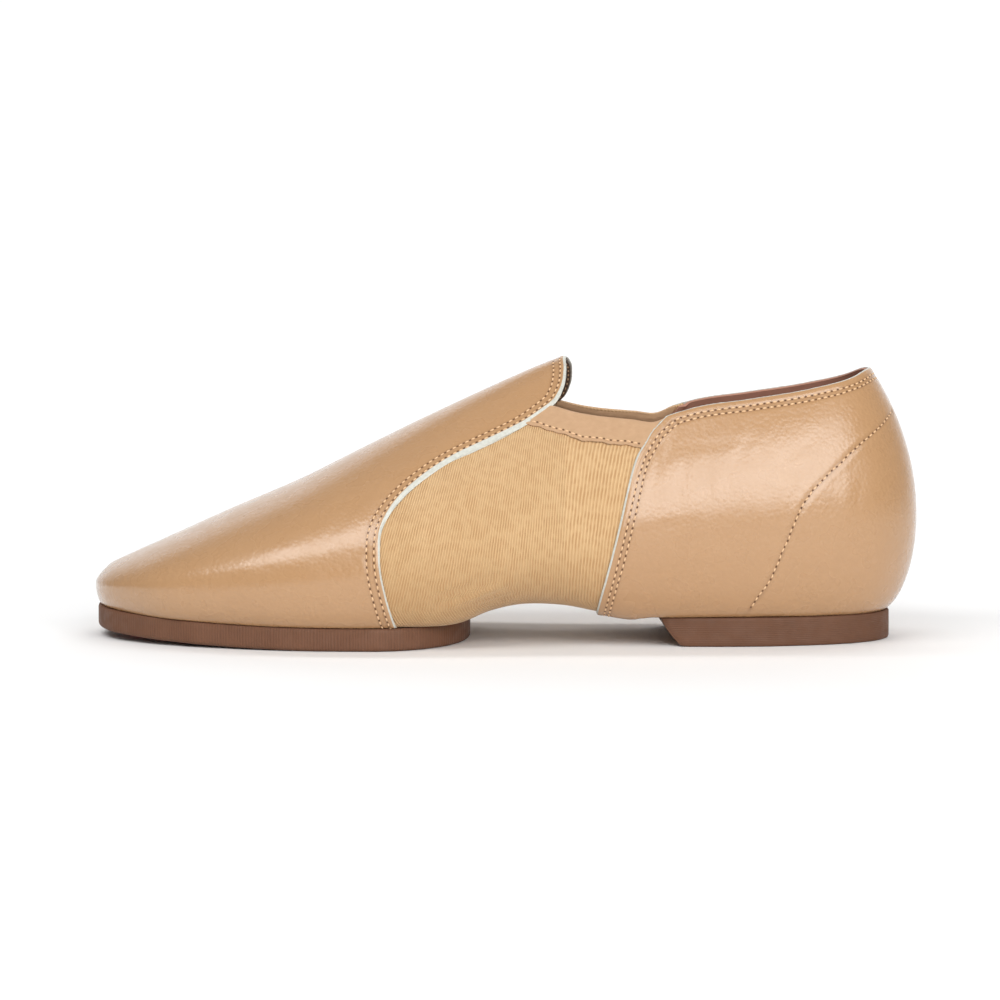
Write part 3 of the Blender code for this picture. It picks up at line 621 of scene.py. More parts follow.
def sewing_thread():
    thread = Finish("sewing_thread", (0.74, 0.48, 0.27), 0.55)
    thread.colour(thread.mix(thread.noise(900, 2), (0.66, 0.41, 0.21), (0.84, 0.58, 0.35)))
    twist = thread.noise(2500, 1, 0.5, thread.stretched(1, 1, 3))
    thread.bump(twist, 0.00006)
    return thread.material


# Painted shade: a dark disc laid on the leather stands for the shade inside a needle hole
def needle_hole_shade():
    hole_shade = Finish("needle_hole_shade", (0.12, 0.055, 0.02), 0.9)
    hole_shade.colour(hole_shade.mix(hole_shade.noise(700, 1), (0.08, 0.035, 0.015), (0.20, 0.10, 0.045)))
    return hole_shade.material


def sole_rubber(name, light, dark, line_pitch, line_depth):
    rubber = Finish(name, light, 0.6)
    line = rubber.stripes(rubber.attribute("line"), line_pitch)
    patchy = rubber.maths("MULTIPLY", rubber.noise(220, 2), line)
    base = rubber.mix(rubber.noise(70, 2), dark, light)
    rubber.colour(rubber.mix(rubber.maths("MULTIPLY", patchy, 0.55), base,
                             tuple(0.55 * value for value in dark)))
    rubber.roughness(rubber.spread(rubber.noise(300, 2), 0.3, 0.7, 0.55, 0.75))
    rubber.bump(patchy, line_depth)
    rubber.bump(rubber.noise(900, 1), 0.00007, 0.7)
    rubber.set("Specular IOR Level", 0.35)
    return rubber.material


def insert_rubber():
    rubber = Finish("insert_rubber", (0.91, 0.075, 0.085), 0.55)
    rubber.colour(rubber.mix(rubber.noise(80, 4), (0.82, 0.055, 0.065), (0.95, 0.10, 0.105)))
    weave = rubber.cells(900, rubber.stretched(1, 1, 0.01))
    rubber.bump(weave, 0.00009, 0.6)
    rubber.bump(rubber.noise(1800, 3), 0.00005, 0.6)
    return rubber.material


leather_skin = tan_leather()
cut_rim_shade = shaded_raw_edge()
gore_knit = gore_cloth()
band_knit = band_cloth()
heel_lining = lining_leather("heel_lining", (0.46, 0.235, 0.165), (0.36, 0.17, 0.115))
tongue_lining = lining_leather("instep_lining", (0.17, 0.115, 0.075), (0.10, 0.066, 0.044))
sock = lining_leather("sock_leather", (0.47, 0.30, 0.17), (0.38, 0.23, 0.12))
thread = sewing_thread()
hole_shade = needle_hole_shade()
wall_rubber = sole_rubber("sole_rubber", (0.185, 0.084, 0.045), (0.14, 0.060, 0.031), 0.9, 0.12 * MM)
heel_rubber = sole_rubber("heel_rubber", (0.165, 0.075, 0.040), (0.125, 0.054, 0.028), 0.55, 0.06 * MM)
red_rubber = insert_rubber()


def seam_line(name, side, low, high):
    """Points along the edge of a leather from one level to another."""
    levels = np.linspace(low, high, 320)
    return skin(edge_turn(name, levels, side), levels, side)


def collar_line(side):
    turns = np.linspace(float(edge_turn("quarter", 3.0, side)), 1.0, 420)
    return skin(turns, 3.0, side)


def close_to_edge(share, fine=0.3, power=1.8):
    """Spaces columns so that they lie close together where share is near 0."""
    return fine * share + (1 - fine) * share ** power


def off_the_soles(points):
    """Leather lies on top of the sole and the heel, never in them."""
    x = points[:, 0] + LENGTH / 2
    on_heel = eased(x, HEEL_START - 8 * MM, 8 * MM)
    on_sole = ramp(SOLE_START + SOLE_LENGTH + 0.5 * MM - x, 0, 2 * MM)
    lowest = seat(x) + 0.1 * MM - LEATHER * (1 - np.maximum(on_heel, on_sole))
    points[:, 2] = np.maximum(points[:, 2], lowest)
    return points


# Vamp: leather over toe and instep

# Of each sheet, shares of its height and the levels that they reach on the last
VAMP_LEVELS = ((0, 0.06, 0.30, 0.62, 1), (0.9, 1.0, 2.0, 3.0, 4.0))
QUARTER_LEVELS = ((0, 0.16, 0.42, 1), (0.0, 1.0, 2.0, 3.0))
INSTEP_LINING_LEVELS = ((0, 0.3, 1), (1.1, 2.0, 4.0))
HEEL_LINING_LEVELS = ((0, 0.3, 1), (1.05, 2.0, 3.0))


def lay_vamp(u, v):
    level = np.interp((v + 1) / 2, *VAMP_LEVELS)
    turn = edge_turn("vamp", level, side_of(u)) * (1 - close_to_edge(1 - abs(u)))
    return off_the_soles(skin(turn, level, side_of(u)))


# Creases pressed in: x, z, half-length and half-width in mm, lean in degrees, depth in mm
VAMP_DENTS = (
    (-52, 27, 26, 3.0, 6, 0.10), (-68, 22, 20, 2.6, 8, 0.10), (-40, 33, 9, 1.6, 62, 0.14),
    (-47, 36, 8, 1.5, 55, 0.10), (-35, 24, 7, 1.4, 80, 0.12), (-26, 58, 13, 2.2, 32, 0.12),
    (-10, 66, 12, 2.0, 28, 0.12), (-85, 19, 12, 2.0, 10, 0.08), (8, 74, 7, 1.5, 20, 0.12),
    (-58, 40, 22, 4.0, 24, -0.12), (-30, 50, 18, 4.0, 30, -0.10),
)
QUARTER_DENTS = (
    (47, 54, 9, 1.6, 75, 0.16), (54, 50, 11, 1.8, 82, 0.14), (62, 48, 12, 2.0, 95, 0.14),
    (70, 55, 9, 1.7, 60, 0.14), (78, 50, 9, 1.8, 105, 0.12), (66, 33, 16, 2.2, 4, 0.14),
    (50, 36, 9, 1.8, 10, 0.12), (88, 58, 8, 1.6, 30, 0.12), (60, 60, 12, 2.0, 5, 0.10),
    (98, 40, 9, 2.2, 80, 0.10), (106, 45, 8, 2.0, 85, 0.08), (84, 33, 10, 2.0, -10, 0.10),
)
GORE_DENTS = (
    (-2, 13.5, 8, 2.0, 20, 0.45), (-8, 19, 9, 1.6, 24, 0.34), (-4.5, 16.5, 9, 1.2, 24, -0.34),
    (14, 40, 20, 9, 65, 0.60), (-12, 44, 9, 14, 0, -0.50), (30, 48, 6, 16, 0, 0.40),
)
# Width of the pale cut edge at each height, in mm
VAMP_CUT = ((8, 0.5), (25, 0.55), (36, 0.8), (46, 1.5), (56, 1.8), (64, 1.9), (70, 1.5),
            (76, 1.0), (82, 0.8))
QUARTER_CUT = ((5, 0.55), (60, 0.65), (66, 0.5), (82, 0.4))
# Rows of stitches: distance from the edge of the leather and start of the first stitch, in mm
VAMP_ROWS = ((1.9, 0.5), (3.9, 1.4))
QUARTER_ROWS = ((2.5, 0.4), (3.9, 1.3))
STITCH_PITCH = 2.1 * MM
SEAM_WIDTH = 0.45 * MM


def cut_and_sew(piece, lines, widths, rows, dents, drop):
    """Slants the cut edge, presses the seams in and sets the creases, all along normals."""
    points, normals = points_of(piece), normals_of(piece)
    line = np.concatenate(lines)
    rows = [offset * MM for offset, _ in rows]
    far, nearest = distance_to(points, line)
    width = np.array([np.interp(z / MM, *zip(*widths)) for z in line[:, 2]])[nearest] * MM
    slant = drop * (1 - ramp(far, 0, width)) ** 1.3
    pressed = sum(0.11 * MM * ridge(far, row, 0.55 * MM) for row in rows)
    swell = 0.10 * MM * ridge(far, 0.5 * (rows[0] + width), 0.6 * MM)
    worn = sum(deep * MM * dent(points, *spot) for *spot, deep in dents)
    depth = slant + pressed - swell + worn * ramp(far, 0, 6 * MM)
    move_points(piece, off_the_soles(points - normals * depth[:, None]))
    note(piece, "cut", far / width)
    # The seam number marks where shade is painted along the pressed rows
    note(piece, "seam", sum(ridge(far, row, SEAM_WIDTH) for row in rows))
    group = piece.vertex_groups.new(name="wall")
    for index, value in enumerate(slant):
        thinned = 0.8 * value / LEATHER if value > 0.02 * MM else 0.0
        group.add([index], float(1 - thinned), "REPLACE")


vamp = lay_sheet("vamp_leather", 220, 84, lay_vamp)
face_outwards(vamp)
vamp_lines = [seam_line("vamp", side, 0.95, 4.0) for side in (OUTER, INNER)]
cut_and_sew(vamp, vamp_lines, VAMP_CUT, VAMP_ROWS, VAMP_DENTS, 0.72 * MM)
thicken(vamp, LEATHER, thin_group=True)
finish_piece(vamp, (leather_skin, cut_rim_shade), 50, ("vamp",))


# Quarter: leather round the heel, under the arch as far as the heel's front


def lay_quarter(u, v):
    height = close_to_edge((1 - v) / 2, 0.45, 1.6)
    level = np.interp(1 - height, *QUARTER_LEVELS)
    start = edge_turn("quarter", level, side_of(u))
    turn = start + (1 - start) * close_to_edge(1 - abs(u), 0.32)
    return off_the_soles(skin(turn, level, side_of(u)))


# The counter seam in the side view, x and z in mm
COUNTER_SEAM = ((117.0, 68.8), (112.9, 64.7), (107.9, 60.9), (99.4, 53.3), (90.8, 44.4),
                (84.9, 31.6), (79.5, 19.3), (74.6, 12.0), (73.2, 9.5))


def counter_line(piece, side):
    """The counter seam, drawn in the side view and carried across to the leather."""
    knots = np.array(COUNTER_SEAM) * MM
    steps = np.concatenate([[0], np.cumsum(np.hypot(*np.diff(knots, axis=0).T))])
    places = np.linspace(0, steps[-1], 260)
    line = []
    for x, z in zip(*(smooth_curve(steps, column)(places) for column in knots.T)):
        found, point, _, _ = piece.ray_cast(Vector((x, side * BALL_WIDTH * 2, z)), Vector((0, -side, 0)))
        if found:
            line.append(np.array(point))
    return np.array(line)


quarter = lay_sheet("quarter_leather", 220, 84, lay_quarter)
face_outwards(quarter)
counter_lines = {side: counter_line(quarter, side) for side in (OUTER, INNER)}
front_lines = [seam_line("quarter", side, 0.0, 3.0) for side in (OUTER, INNER)]
rim_lines = {side: collar_line(side) for side in (OUTER, INNER)}
cut_and_sew(quarter, [*front_lines, *rim_lines.values()], QUARTER_CUT, QUARTER_ROWS, QUARTER_DENTS,
            0.6 * MM)
for counter in counter_lines.values():
    points, normals = points_of(quarter), normals_of(quarter)
    far, _ = distance_to(points, counter)
    pressed = 0.26 * MM * ridge(far, 0, 0.5 * MM) - 0.1 * MM * ridge(far, 1.4 * MM, 0.8 * MM)
    move_points(quarter, points - normals * pressed[:, None])
    # The counter seam's groove gets the same painted shade
    seam_shade = np.empty(len(points), np.float32)
    quarter.data.attributes["seam"].data.foreach_get("value", seam_shade)
    note(quarter, "seam", np.maximum(seam_shade, ridge(far, 0, SEAM_WIDTH)))
thicken(quarter, LEATHER, thin_group=True)
finish_piece(quarter, (leather_skin, cut_rim_shade), 50, ("quarter",))


# Gores: ribbed stretch knit between vamp and quarter, joined under the arch

# Heights of the gore's top line and of the band's lower edge along the shoe, in mm
BAND_TOP = ((-20, 77.0), (0, 75.2), (10, 73.2), (16.8, 71.3), (22, 69.9), (27.7, 68.9), (36, 68.0),
            (46, 67.2), (60, 66.6))
BAND_EDGE = ((-12, 69.5), (-2, 68.4), (7.9, 66.2), (16.9, 64.0), (24.3, 61.8), (31.4, 60.9),
             (38.2, 60.1), (42.0, 59.5), (52, 58.6))
band_top, band_edge = (smooth_curve(*(np.array(table) * MM).T) for table in (BAND_TOP, BAND_EDGE))
# Turns by which the gore and the band run under the leathers
GORE_TUCK, BAND_TUCK = 0.011, 0.004
# Levels between which the top line lies, and turns between which the band's ends lie
TOP_REACH, BAND_REACH = (2.6, 3.7), (0.42, 0.70)
# The least height of the band, in levels
BAND_LEAST = 0.06
GORE_GRID = 120


def raised_to_vamp(turn, level, side):
    """Levels near the top, moved so that the gore's top line rises gently to the vamp."""
    def is_past(high):
        point = bare_skin(turn, high, side)
        return point[:, 2] > band_top(point[:, 0] - LENGTH / 2)

    target = bisect(*(0 * turn + level for level in TOP_REACH), is_past)
    x = bare_skin(turn, 0 * turn + 3.0, side)[:, 0] - LENGTH / 2
    rise = (target - 3.0) * ramp(50 * MM - x, 0, 10 * MM)
    return level + ramp(level, 2.5, 0.5) * rise


def lay_gore(side):
    def place(u, v):
        level = (v + 1) / 2 * 3.0
        start = edge_turn("vamp", level, side) - GORE_TUCK
        end = edge_turn("quarter", level, side) + GORE_TUCK
        turn = start + (end - start) * (u + 1) / 2
        level = raised_to_vamp(turn, level, side)
        points = skin(turn, level, side, MM + 0.7 * MM * ridge(level, 0, 0.035))
        folds = sum(deep * MM * dent(points, *spot) for *spot, deep in GORE_DENTS)
        points[:, 1] -= side * folds
        return off_the_soles(points)

    return place


def note_ribs(gore):
    """Ribs of the knit, in mm: they lean forward in front, and run slanting under the arch."""
    points = points_of(gore).reshape(GORE_GRID + 1, GORE_GRID + 1, 3) / MM
    steps = np.linalg.norm(np.diff(points, axis=0), axis=2)
    run = np.concatenate([0 * steps[:1], np.cumsum(steps, axis=0)])
    widest = round(GORE_GRID * 2 / 3)
    run = run - run[widest] + points[widest, :, 2]
    x, z = points[:, :, 0], points[:, :, 2]
    lean = np.interp(x, (-35, -10, 20, 42), (0.27, 0.18, 0.06, 0.14))
    turned_under, slant_under = 12, 0.42
    rib = x - lean * np.maximum(run, turned_under) + slant_under * np.minimum(run - turned_under, 0)
    # Buckles low in front, behind the vamp's seam
    buckled = np.exp(-((x + 5) / 11) ** 2 - ((z - 16.5) / 3.2) ** 2)
    rib = rib + 0.55 * buckled * np.sin(math.tau * (run - 0.35 * x) / 3.1)
    note(gore, "rib", rib.ravel())
    note(gore, "run", run.ravel())


for side, name in ((OUTER, "gore_outer"), (INNER, "gore_inner")):
    gore = lay_sheet(name, GORE_GRID, GORE_GRID, lay_gore(side))
    note_ribs(gore)
    face_outwards(gore)
    thicken(gore, 0.8 * MM)
    finish_piece(gore, (gore_knit, gore_knit), 50, ("upper",))


# Folded bands along the top of the gores


def band_edge_level(turn, side, top):
    """The level of the band's sewn lower edge, which rises towards the vamp."""
    def is_past(level):
        point = bare_skin(turn, level, side)
        x = point[:, 0] - LENGTH / 2
        uneven = 0.16 * MM * np.sin(x * 700) + 0.1 * MM * np.sin(x * 1700)
        return point[:, 2] > band_edge(x) + uneven

    return bisect(0 * turn + 2.0, top - BAND_LEAST, is_past)


def band_level(turn, share, side):
    """The level on the band: share is 0 on its sewn lower edge, 1 on the fold."""
    top = raised_to_vamp(turn, 3.0, side)
    low = band_edge_level(turn, side, top)
    return low + (top - low) * share


def band_end(name, share, side, tuck):
    """The turn at which the band has run under an edge of leather by tuck."""
    rows, index = np.unique(share, return_inverse=True)

    def is_past(turn):
        return turn > edge_turn(name, band_level(turn, rows, side), side) + tuck

    return bisect(*(0 * rows + turn for turn in BAND_REACH), is_past)[index]


def band_spots(u, share, side):
    share = share + 0 * u
    start = band_end("vamp", share, side, -BAND_TUCK)
    end = band_end("quarter", share, side, BAND_TUCK)
    turn = start + (end - start) * (u + 1) / 2
    return turn, band_level(turn, share, side)


def lay_band(side):
    def place(u, v):
        share = (v + 1) / 2
        turn, level = band_spots(u, share, side)
        fold = 0.4 * ramp(share, 0.92, 0.08) + 0.12 * ramp(0.04 - share, 0, 0.04)
        row_pressed = 0.10 * ridge(share, BAND_GROOVE, 0.04)
        return skin(turn, level, side, (0.38 + fold + row_pressed) * MM)

    return place


def lay_turned_in(side):
    """The part of the band that is folded over the gore's top edge and hangs inside."""
    def place(u, v):
        share = 0.22 + 0.78 * (v + 1) / 2
        turn, level = band_spots(u, share, side)
        return skin(turn, level, side, (1.85 - 0.6 * ramp(share, 0.88, 0.12)) * MM)

    return place


def shell(name, columns, rows, place, wall, look, replaces=(), even=True):
    """A sheet on the last with a wall, the same finish on both faces."""
    sheet = lay_sheet(name, columns, rows, place)
    face_outwards(sheet)
    thicken(sheet, wall, even=even)
    return finish_piece(sheet, (look, look), 50, replaces)


# Shares of the band's height where its row of stitches runs and where the cloth is drawn in
BAND_ROW, BAND_GROOVE = 0.12, 0.11
bands = {}
for side, word in ((OUTER, "outer"), (INNER, "inner")):
    bands[side] = shell(f"band_{word}", 120, 40, lay_band(side), 0.6 * MM, band_knit,
                        (f"gore_band_{word}",), even=False)
    shell(f"band_{word}_turned_in", 80, 16, lay_turned_in(side), 0.5 * MM, band_knit,
          even=False)


# Linings

# Turns by which the gore reaches past a leather's edge, over which a lining steps down to it, and
# by which the linings stay short of the edges of the leathers
GORE_REACH, STEP_RUN, LINING_INSET = 0.015, 0.003, 0.006


def lining_depth(over_gore):
    """Linings lie under the leather, and deeper where the gore runs between."""
    return (0.95 + 0.9 * over_gore) * MM


def lay_instep_lining(u, v):
    level = np.interp((v + 1) / 2, *INSTEP_LINING_LEVELS)
    edge = edge_turn("vamp", level, side_of(u))
    inset = np.interp(level, (3.0, 3.1), (LINING_INSET, LINING_INSET / 3))
    turn = (edge - inset) * (1 - close_to_edge(1 - abs(u)))
    over_gore = ramp(turn - edge, -GORE_REACH, STEP_RUN) * ramp(3.1 - level, 0, 0.1)
    return skin(turn, level, side_of(u), lining_depth(over_gore))


def lay_heel_lining(u, v):
    level = np.interp((v + 1) / 2, *HEEL_LINING_LEVELS)
    edge = edge_turn("quarter", level, side_of(u))
    turn = edge + LINING_INSET + (1 - LINING_INSET - edge) * close_to_edge(1 - abs(u), 0.4)
    over_gore = ramp(edge + GORE_REACH - turn, 0, STEP_RUN)
    return skin(turn, level, side_of(u), lining_depth(over_gore))


shell("instep_lining", 120, 50, lay_instep_lining, 0.7 * MM, tongue_lining, ("upper",))
shell("heel_lining", 120, 50, lay_heel_lining, 0.8 * MM, heel_lining, ("upper",))

sock_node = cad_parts["insole"]
sock_node.data.materials.clear()
sock_node.data.materials.append(sock)


# Forefoot sole: each ring is the sole's outline drawn in, and the last rings meet on its spine

# Share of the length, and half-widths outside and inside as shares of the width
SOLE_PLAN = (
    (0.000, 0.000, 0.000), (0.010, 0.107, 0.098), (0.031, 0.181, 0.159), (0.052, 0.231, 0.196),
    (0.088, 0.284, 0.234), (0.139, 0.340, 0.285), (0.191, 0.387, 0.321), (0.243, 0.419, 0.354),
    (0.294, 0.452, 0.385), (0.346, 0.474, 0.404), (0.449, 0.512, 0.435), (0.553, 0.539, 0.451),
    (0.656, 0.548, 0.452), (0.759, 0.547, 0.445),
)
# Behind this share of its length the sole's outline is a skewed half-ellipse
SOLE_REAR, REAR_SKEW = 0.759, 0.075
# Share of a ring's points that lie in front of it
FRONT_SHARE = 0.68
# Share of the insert's length, and half-width as a share of its width
INSERT_PLAN = (
    (0.000, 0.130), (0.040, 0.185), (0.100, 0.245), (0.240, 0.357), (0.360, 0.420),
    (0.500, 0.468), (0.620, 0.497), (0.740, 0.495), (0.840, 0.455), (0.920, 0.365),
    (0.975, 0.215), (1.000, 0.000),
)


def plan_curve(table, column, length, width):
    curve = smooth_curve([turn_of(row[0]) for row in table], [row[column] * width for row in table])
    return lambda x: curve(turn_of(x / length))


sole_outer = plan_curve(SOLE_PLAN, 1, SOLE_LENGTH, SOLE_WIDTH)
sole_inner = plan_curve(SOLE_PLAN, 2, SOLE_LENGTH, SOLE_WIDTH)


def sole_ring(share, side, inset, narrow):
    """The outline at share, 0 at the toe and 1 behind, drawn in by inset and narrowed."""
    is_front = share < FRONT_SHARE
    front = SOLE_REAR * (1 - np.cos(RIGHT_ANGLE * ramp(share, 0, FRONT_SHARE)))
    angle = RIGHT_ANGLE * ramp(share, FRONT_SHARE, 1 - FRONT_SHARE)
    outer, inner = sole_outer(front * SOLE_LENGTH), sole_inner(front * SOLE_LENGTH)
    spine = (inner - outer) / 2
    across = side * (inner + outer) / 2 * np.cos(angle)
    skew = REAR_SKEW * across * narrow / SOLE_LENGTH
    rear = SOLE_REAR + (1 - SOLE_REAR - skew) * np.sin(angle)
    place = np.where(is_front, front, rear)
    y = spine + across * narrow
    x = SOLE_START + inset + place * (SOLE_LENGTH - 2 * inset)
    return x, CENTRE + y * (1 - 2 * inset / SOLE_WIDTH)


# Rows of the sole from the middle of its bottom over the edge to the middle of its top: inset and
# height in mm, narrowing
SOLE_ROWS = ((4.7, 0.50, 0.0), (4.7, 0.50, 0.35), (4.7, 0.50, 0.7), (4.7, 0.50, 0.97),
             (4.65, 0.50, 1.0), (4.35, 0.15, 1.0), (4.1, 0.0, 1.0), (3.6, 0.0, 1.0),
             (3.35, 0.12, 1.0), (3.1, 0.12, 1.0), (2.85, 0.0, 1.0), (1.3, 0.0, 1.0), (0.75, 0.1, 1.0),
             (0.36, 0.36, 1.0), (0.1, 0.75, 1.0), (0.0, 1.2, 1.0), (0.0, 2.4, 1.0), (0.0, 4.2, 1.0),
             (0.0, 5.8, 1.0), (0.1, 6.3, 1.0), (0.35, 6.7, 1.0), (0.7, 6.8, 1.0), (0.8, 6.8, 0.8),
             (0.8, 6.8, 0.4), (0.8, 6.8, 0.0))


def rows_at(rows, v):
    """The columns of a table of rows at v, its lengths in metres and its last column as it is."""
    spot = (v + 1) / 2 * (len(rows) - 1)
    *lengths, narrow = [np.interp(spot, range(len(rows)), column) for column in zip(*rows)]
    return *[length * MM for length in lengths], narrow


def lay_sole(u, v):
    inset, height, narrow = rows_at(SOLE_ROWS, v)
    x, y = sole_ring(abs(u), side_of(u), inset, narrow)
    return np.stack([x - LENGTH / 2, y, toe_lift(x) + height], axis=-1)


insert_half = plan_curve(INSERT_PLAN, 1, INSERT_LENGTH, INSERT_WIDTH)


def insert_ring(share, side, grow, narrow):
    x = INSERT_START - grow + share * (INSERT_LENGTH + 2 * grow)
    axis = -6.6 * MM - 7.9 * MM * share
    half = insert_half(share * INSERT_LENGTH) * (1 + 2 * grow / INSERT_WIDTH)
    return SOLE_START + x, CENTRE + axis + side * half * narrow


# Middle of the insert's disc, in metres
DISC = (-0.0587, -0.0093)
# Grooves of the insert's tread, in mm: distance from the disc's middle or from the arc, width, depth
RING_GROOVES = ((18.9, 0.35, 0.22), (21.4, 0.35, 0.22))
ARCS = (25.5, 31.0, 36.4, 41.8, 47.2, 52.6)
ARC_GROOVES = ((0.0, 0.6, 0.5), (1.8, 0.4, 0.28))


def tread(x, y):
    """Depth of the insert's tread: smooth disc, a ring round it, and arcs ahead of it."""
    far = np.hypot(x - DISC[0], y - DISC[1]) / MM
    ring = sum(deep * ridge(far, place, width) for place, width, deep in RING_GROOVES)
    arcs = sum(deep * ridge(far, arc + place, width) for place, width, deep in ARC_GROOVES
               for arc in ARCS)
    return (ring + arcs * ramp(DISC[0] + 6 * MM - x, 0, 10 * MM)) * MM


def insert_layer(grow, low, high, rows, patterned):
    """A closed slab of the insert's outline: rows says where its edges lie from bottom to top."""
    def place(u, v):
        share = (1 - np.cos(math.pi * abs(u))) / 2
        spot = (v + 1) / 2
        narrow = np.interp(spot, rows, (0, 1, 1, 0))
        x, y = insert_ring(share, side_of(u), grow, narrow)
        z = toe_lift(x) + np.interp(spot, rows, (low, low, high, high))
        if patterned:
            pattern = tread(x - LENGTH / 2, y) * ramp(1 - narrow, 0, 0.05)
            rounded = 0.4 * MM * ramp(narrow, 0.985, 0.015)
            z = z + (spot <= rows[1]) * (rounded + pattern)
        return np.stack([x - LENGTH / 2, y, z], axis=-1)

    return place


sole = lay_sheet("forefoot_sole", 300, 2 * (len(SOLE_ROWS) - 1), lay_sole)
weld(sole)
pocket = lay_sheet("pocket_cutter", 120, 8,
                   insert_layer(0.3 * MM, -3 * MM, 2.8 * MM, (0, 0.3, 0.7, 1), False))
weld(pocket)
select_only(sole)
cut = sole.modifiers.new("Pocket", "BOOLEAN")
cut.operation = "DIFFERENCE"
cut.solver = "EXACT"
cut.object = pocket
bpy.ops.object.modifier_apply(modifier="Pocket")
bpy.data.objects.remove(pocket, do_unlink=True)


def outline_run(points):
    """Millimetres round the shoe's outline for each point, measured at its widest line."""
    turns = np.linspace(0.001, 0.999, 900)
    rear = SOLE_START + SOLE_LENGTH
    rear_middle = np.array([[rear - LENGTH / 2, float(centre_line(np.array(rear))), 0.0]])
    flat = np.concatenate([points * np.array([1, 1, 0]), rear_middle])
    runs = {}
    for side in (OUTER, INNER):
        x, y = outline(turns, side)
        line = np.stack([x - LENGTH / 2, y, 0 * x], axis=-1)
        steps = np.concatenate([[0], np.cumsum(np.linalg.norm(np.diff(line, axis=0), axis=1))])
        _, nearest = distance_to(flat, line)
        runs[side] = steps[nearest] / MM
    # The inner run is scaled so that both runs meet at the sole's rear
    inner = runs[INNER] * runs[OUTER][-1] / runs[INNER][-1]
    on_outer = points[:, 1] < centre_line(points[:, 0] + LENGTH / 2)
    return np.where(on_outer, runs[OUTER][:-1], inner[:-1])


note(sole, "line", outline_run(points_of(sole)))
finish_piece(sole, (wall_rubber,), 35, ("outsole",))

insert = lay_sheet("red_insert", 200, 120,
                   insert_layer(0.0, 0.6 * MM, 2.5 * MM, (0, 0.9, 0.96, 1), True))
weld(insert)
finish_piece(insert, (red_rubber,), 50, ("sole_insert",))


# Two plain raised rings on the bottom of the forefoot sole

RING_PLACE = (-0.0275, -0.0217, 0.00048)

for radius in (6.2, 5.2):
    bpy.ops.object.select_all(action="DESELECT")
    bpy.ops.mesh.primitive_torus_add(major_segments=72, minor_segments=8, major_radius=radius * MM,
                                     minor_radius=0.22 * MM, location=RING_PLACE)
    bare_ring = bpy.context.object
    bare_ring.name = f"bare_ring_{int(radius)}"
    bpy.ops.object.transform_apply(location=True, rotation=True, scale=True)
    note(bare_ring, "line", outline_run(points_of(bare_ring)))
    finish_piece(bare_ring, (wall_rubber,), 50)


# Heel block

# Share of the length, and half-widths outside and inside as shares of the seat's width
HEEL_PLAN = (
    (0.000, 0.495, 0.393), (0.120, 0.499, 0.437), (0.330, 0.487, 0.494), (0.470, 0.465, 0.502),
    (0.600, 0.425, 0.496), (0.730, 0.373, 0.460), (0.820, 0.318, 0.410), (0.890, 0.255, 0.345),
    (0.950, 0.175, 0.250), (0.985, 0.095, 0.140), (1.000, 0.000, 0.000),
)
heel_outer = plan_curve(HEEL_PLAN, 1, HEEL_LENGTH, HEEL_SEAT_WIDTH)
heel_inner = plan_curve(HEEL_PLAN, 2, HEEL_LENGTH, HEEL_SEAT_WIDTH)
# Share of a ring's points on the breast, slant of the breast, and its skew from side to side
BREAST_SHARE, BREAST_SLANT, BREAST_SKEW = 0.16, 0.0060, 0.0052
# Rows from the middle of the bottom: inset at the sides, inset of the breast, height, narrowing
HEEL_ROWS = (
    (12.8, 4.6, 0.30, 0.0), (12.8, 4.6, 0.30, 0.5), (12.8, 4.6, 0.30, 1.0), (12.5, 4.3, 0.35, 1.0),
    (11.8, 3.6, 1.0, 1.0), (11.5, 3.4, 1.0, 1.0), (8.0, 2.7, 1.0, 1.0), (7.8, 2.6, 0.95, 1.0),
    (7.0, 1.9, 0.1, 1.0), (6.8, 1.6, 0.0, 1.0), (1.2, 1.0, 0.0, 1.0), (0.8, 0.8, 0.0, 1.0),
    (0.25, 0.25, 0.25, 1.0), (0.0, 0.0, 0.8, 1.0), (0.0, 0.0, 2.4, 1.0), (0.0, 0.0, 4.6, 1.0),
    (0.0, 0.0, 6.6, 1.0), (0.0, 0.0, 8.2, 1.0), (0.2, 0.2, 8.6, 1.0), (0.6, 0.6, 8.7, 1.0),
    (0.6, 0.6, 8.7, 0.5), (0.6, 0.6, 8.7, 0.0),
)


def lay_heel(u, v):
    inset, front, height, narrow = rows_at(HEEL_ROWS, v)
    share = ramp(abs(u), BREAST_SHARE, 1 - BREAST_SHARE)
    breast = HEEL_START + BREAST_SLANT * ramp(1 - height / HEEL_HEIGHT, 0, 1) ** 1.5 + front
    back = LENGTH - HEEL_SETBACK - inset
    x = breast + (back - breast) * np.sin(RIGHT_ANGLE * share)
    along = HEEL_LENGTH + np.minimum(0, x - back)
    half = np.where(u < 0, heel_outer(along), heel_inner(along)) * (1 - 2 * inset / HEEL_SEAT_WIDTH)
    y = side_of(u) * half * ramp(abs(u), 0, BREAST_SHARE)
    x = x - y * narrow * BREAST_SKEW / HEEL_SEAT_WIDTH * (1 - share) ** 2
    middle = HEEL_START + 0.5 * HEEL_LENGTH
    x = middle + (x - middle) * (0.35 + 0.65 * narrow)
    return np.stack([x - LENGTH / 2, CENTRE + y * narrow, height], axis=-1)


heel = lay_sheet("heel_block", 240, 2 * (len(HEEL_ROWS) - 1), lay_heel)
weld(heel)
note(heel, "line", points_of(heel)[:, 2] / MM)
finish_piece(heel, (heel_rubber,), 35, ("heel",))


# Stitches: one is modelled, and each seam gets copies of it with a dark disc of painted shade for a
# needle hole between them


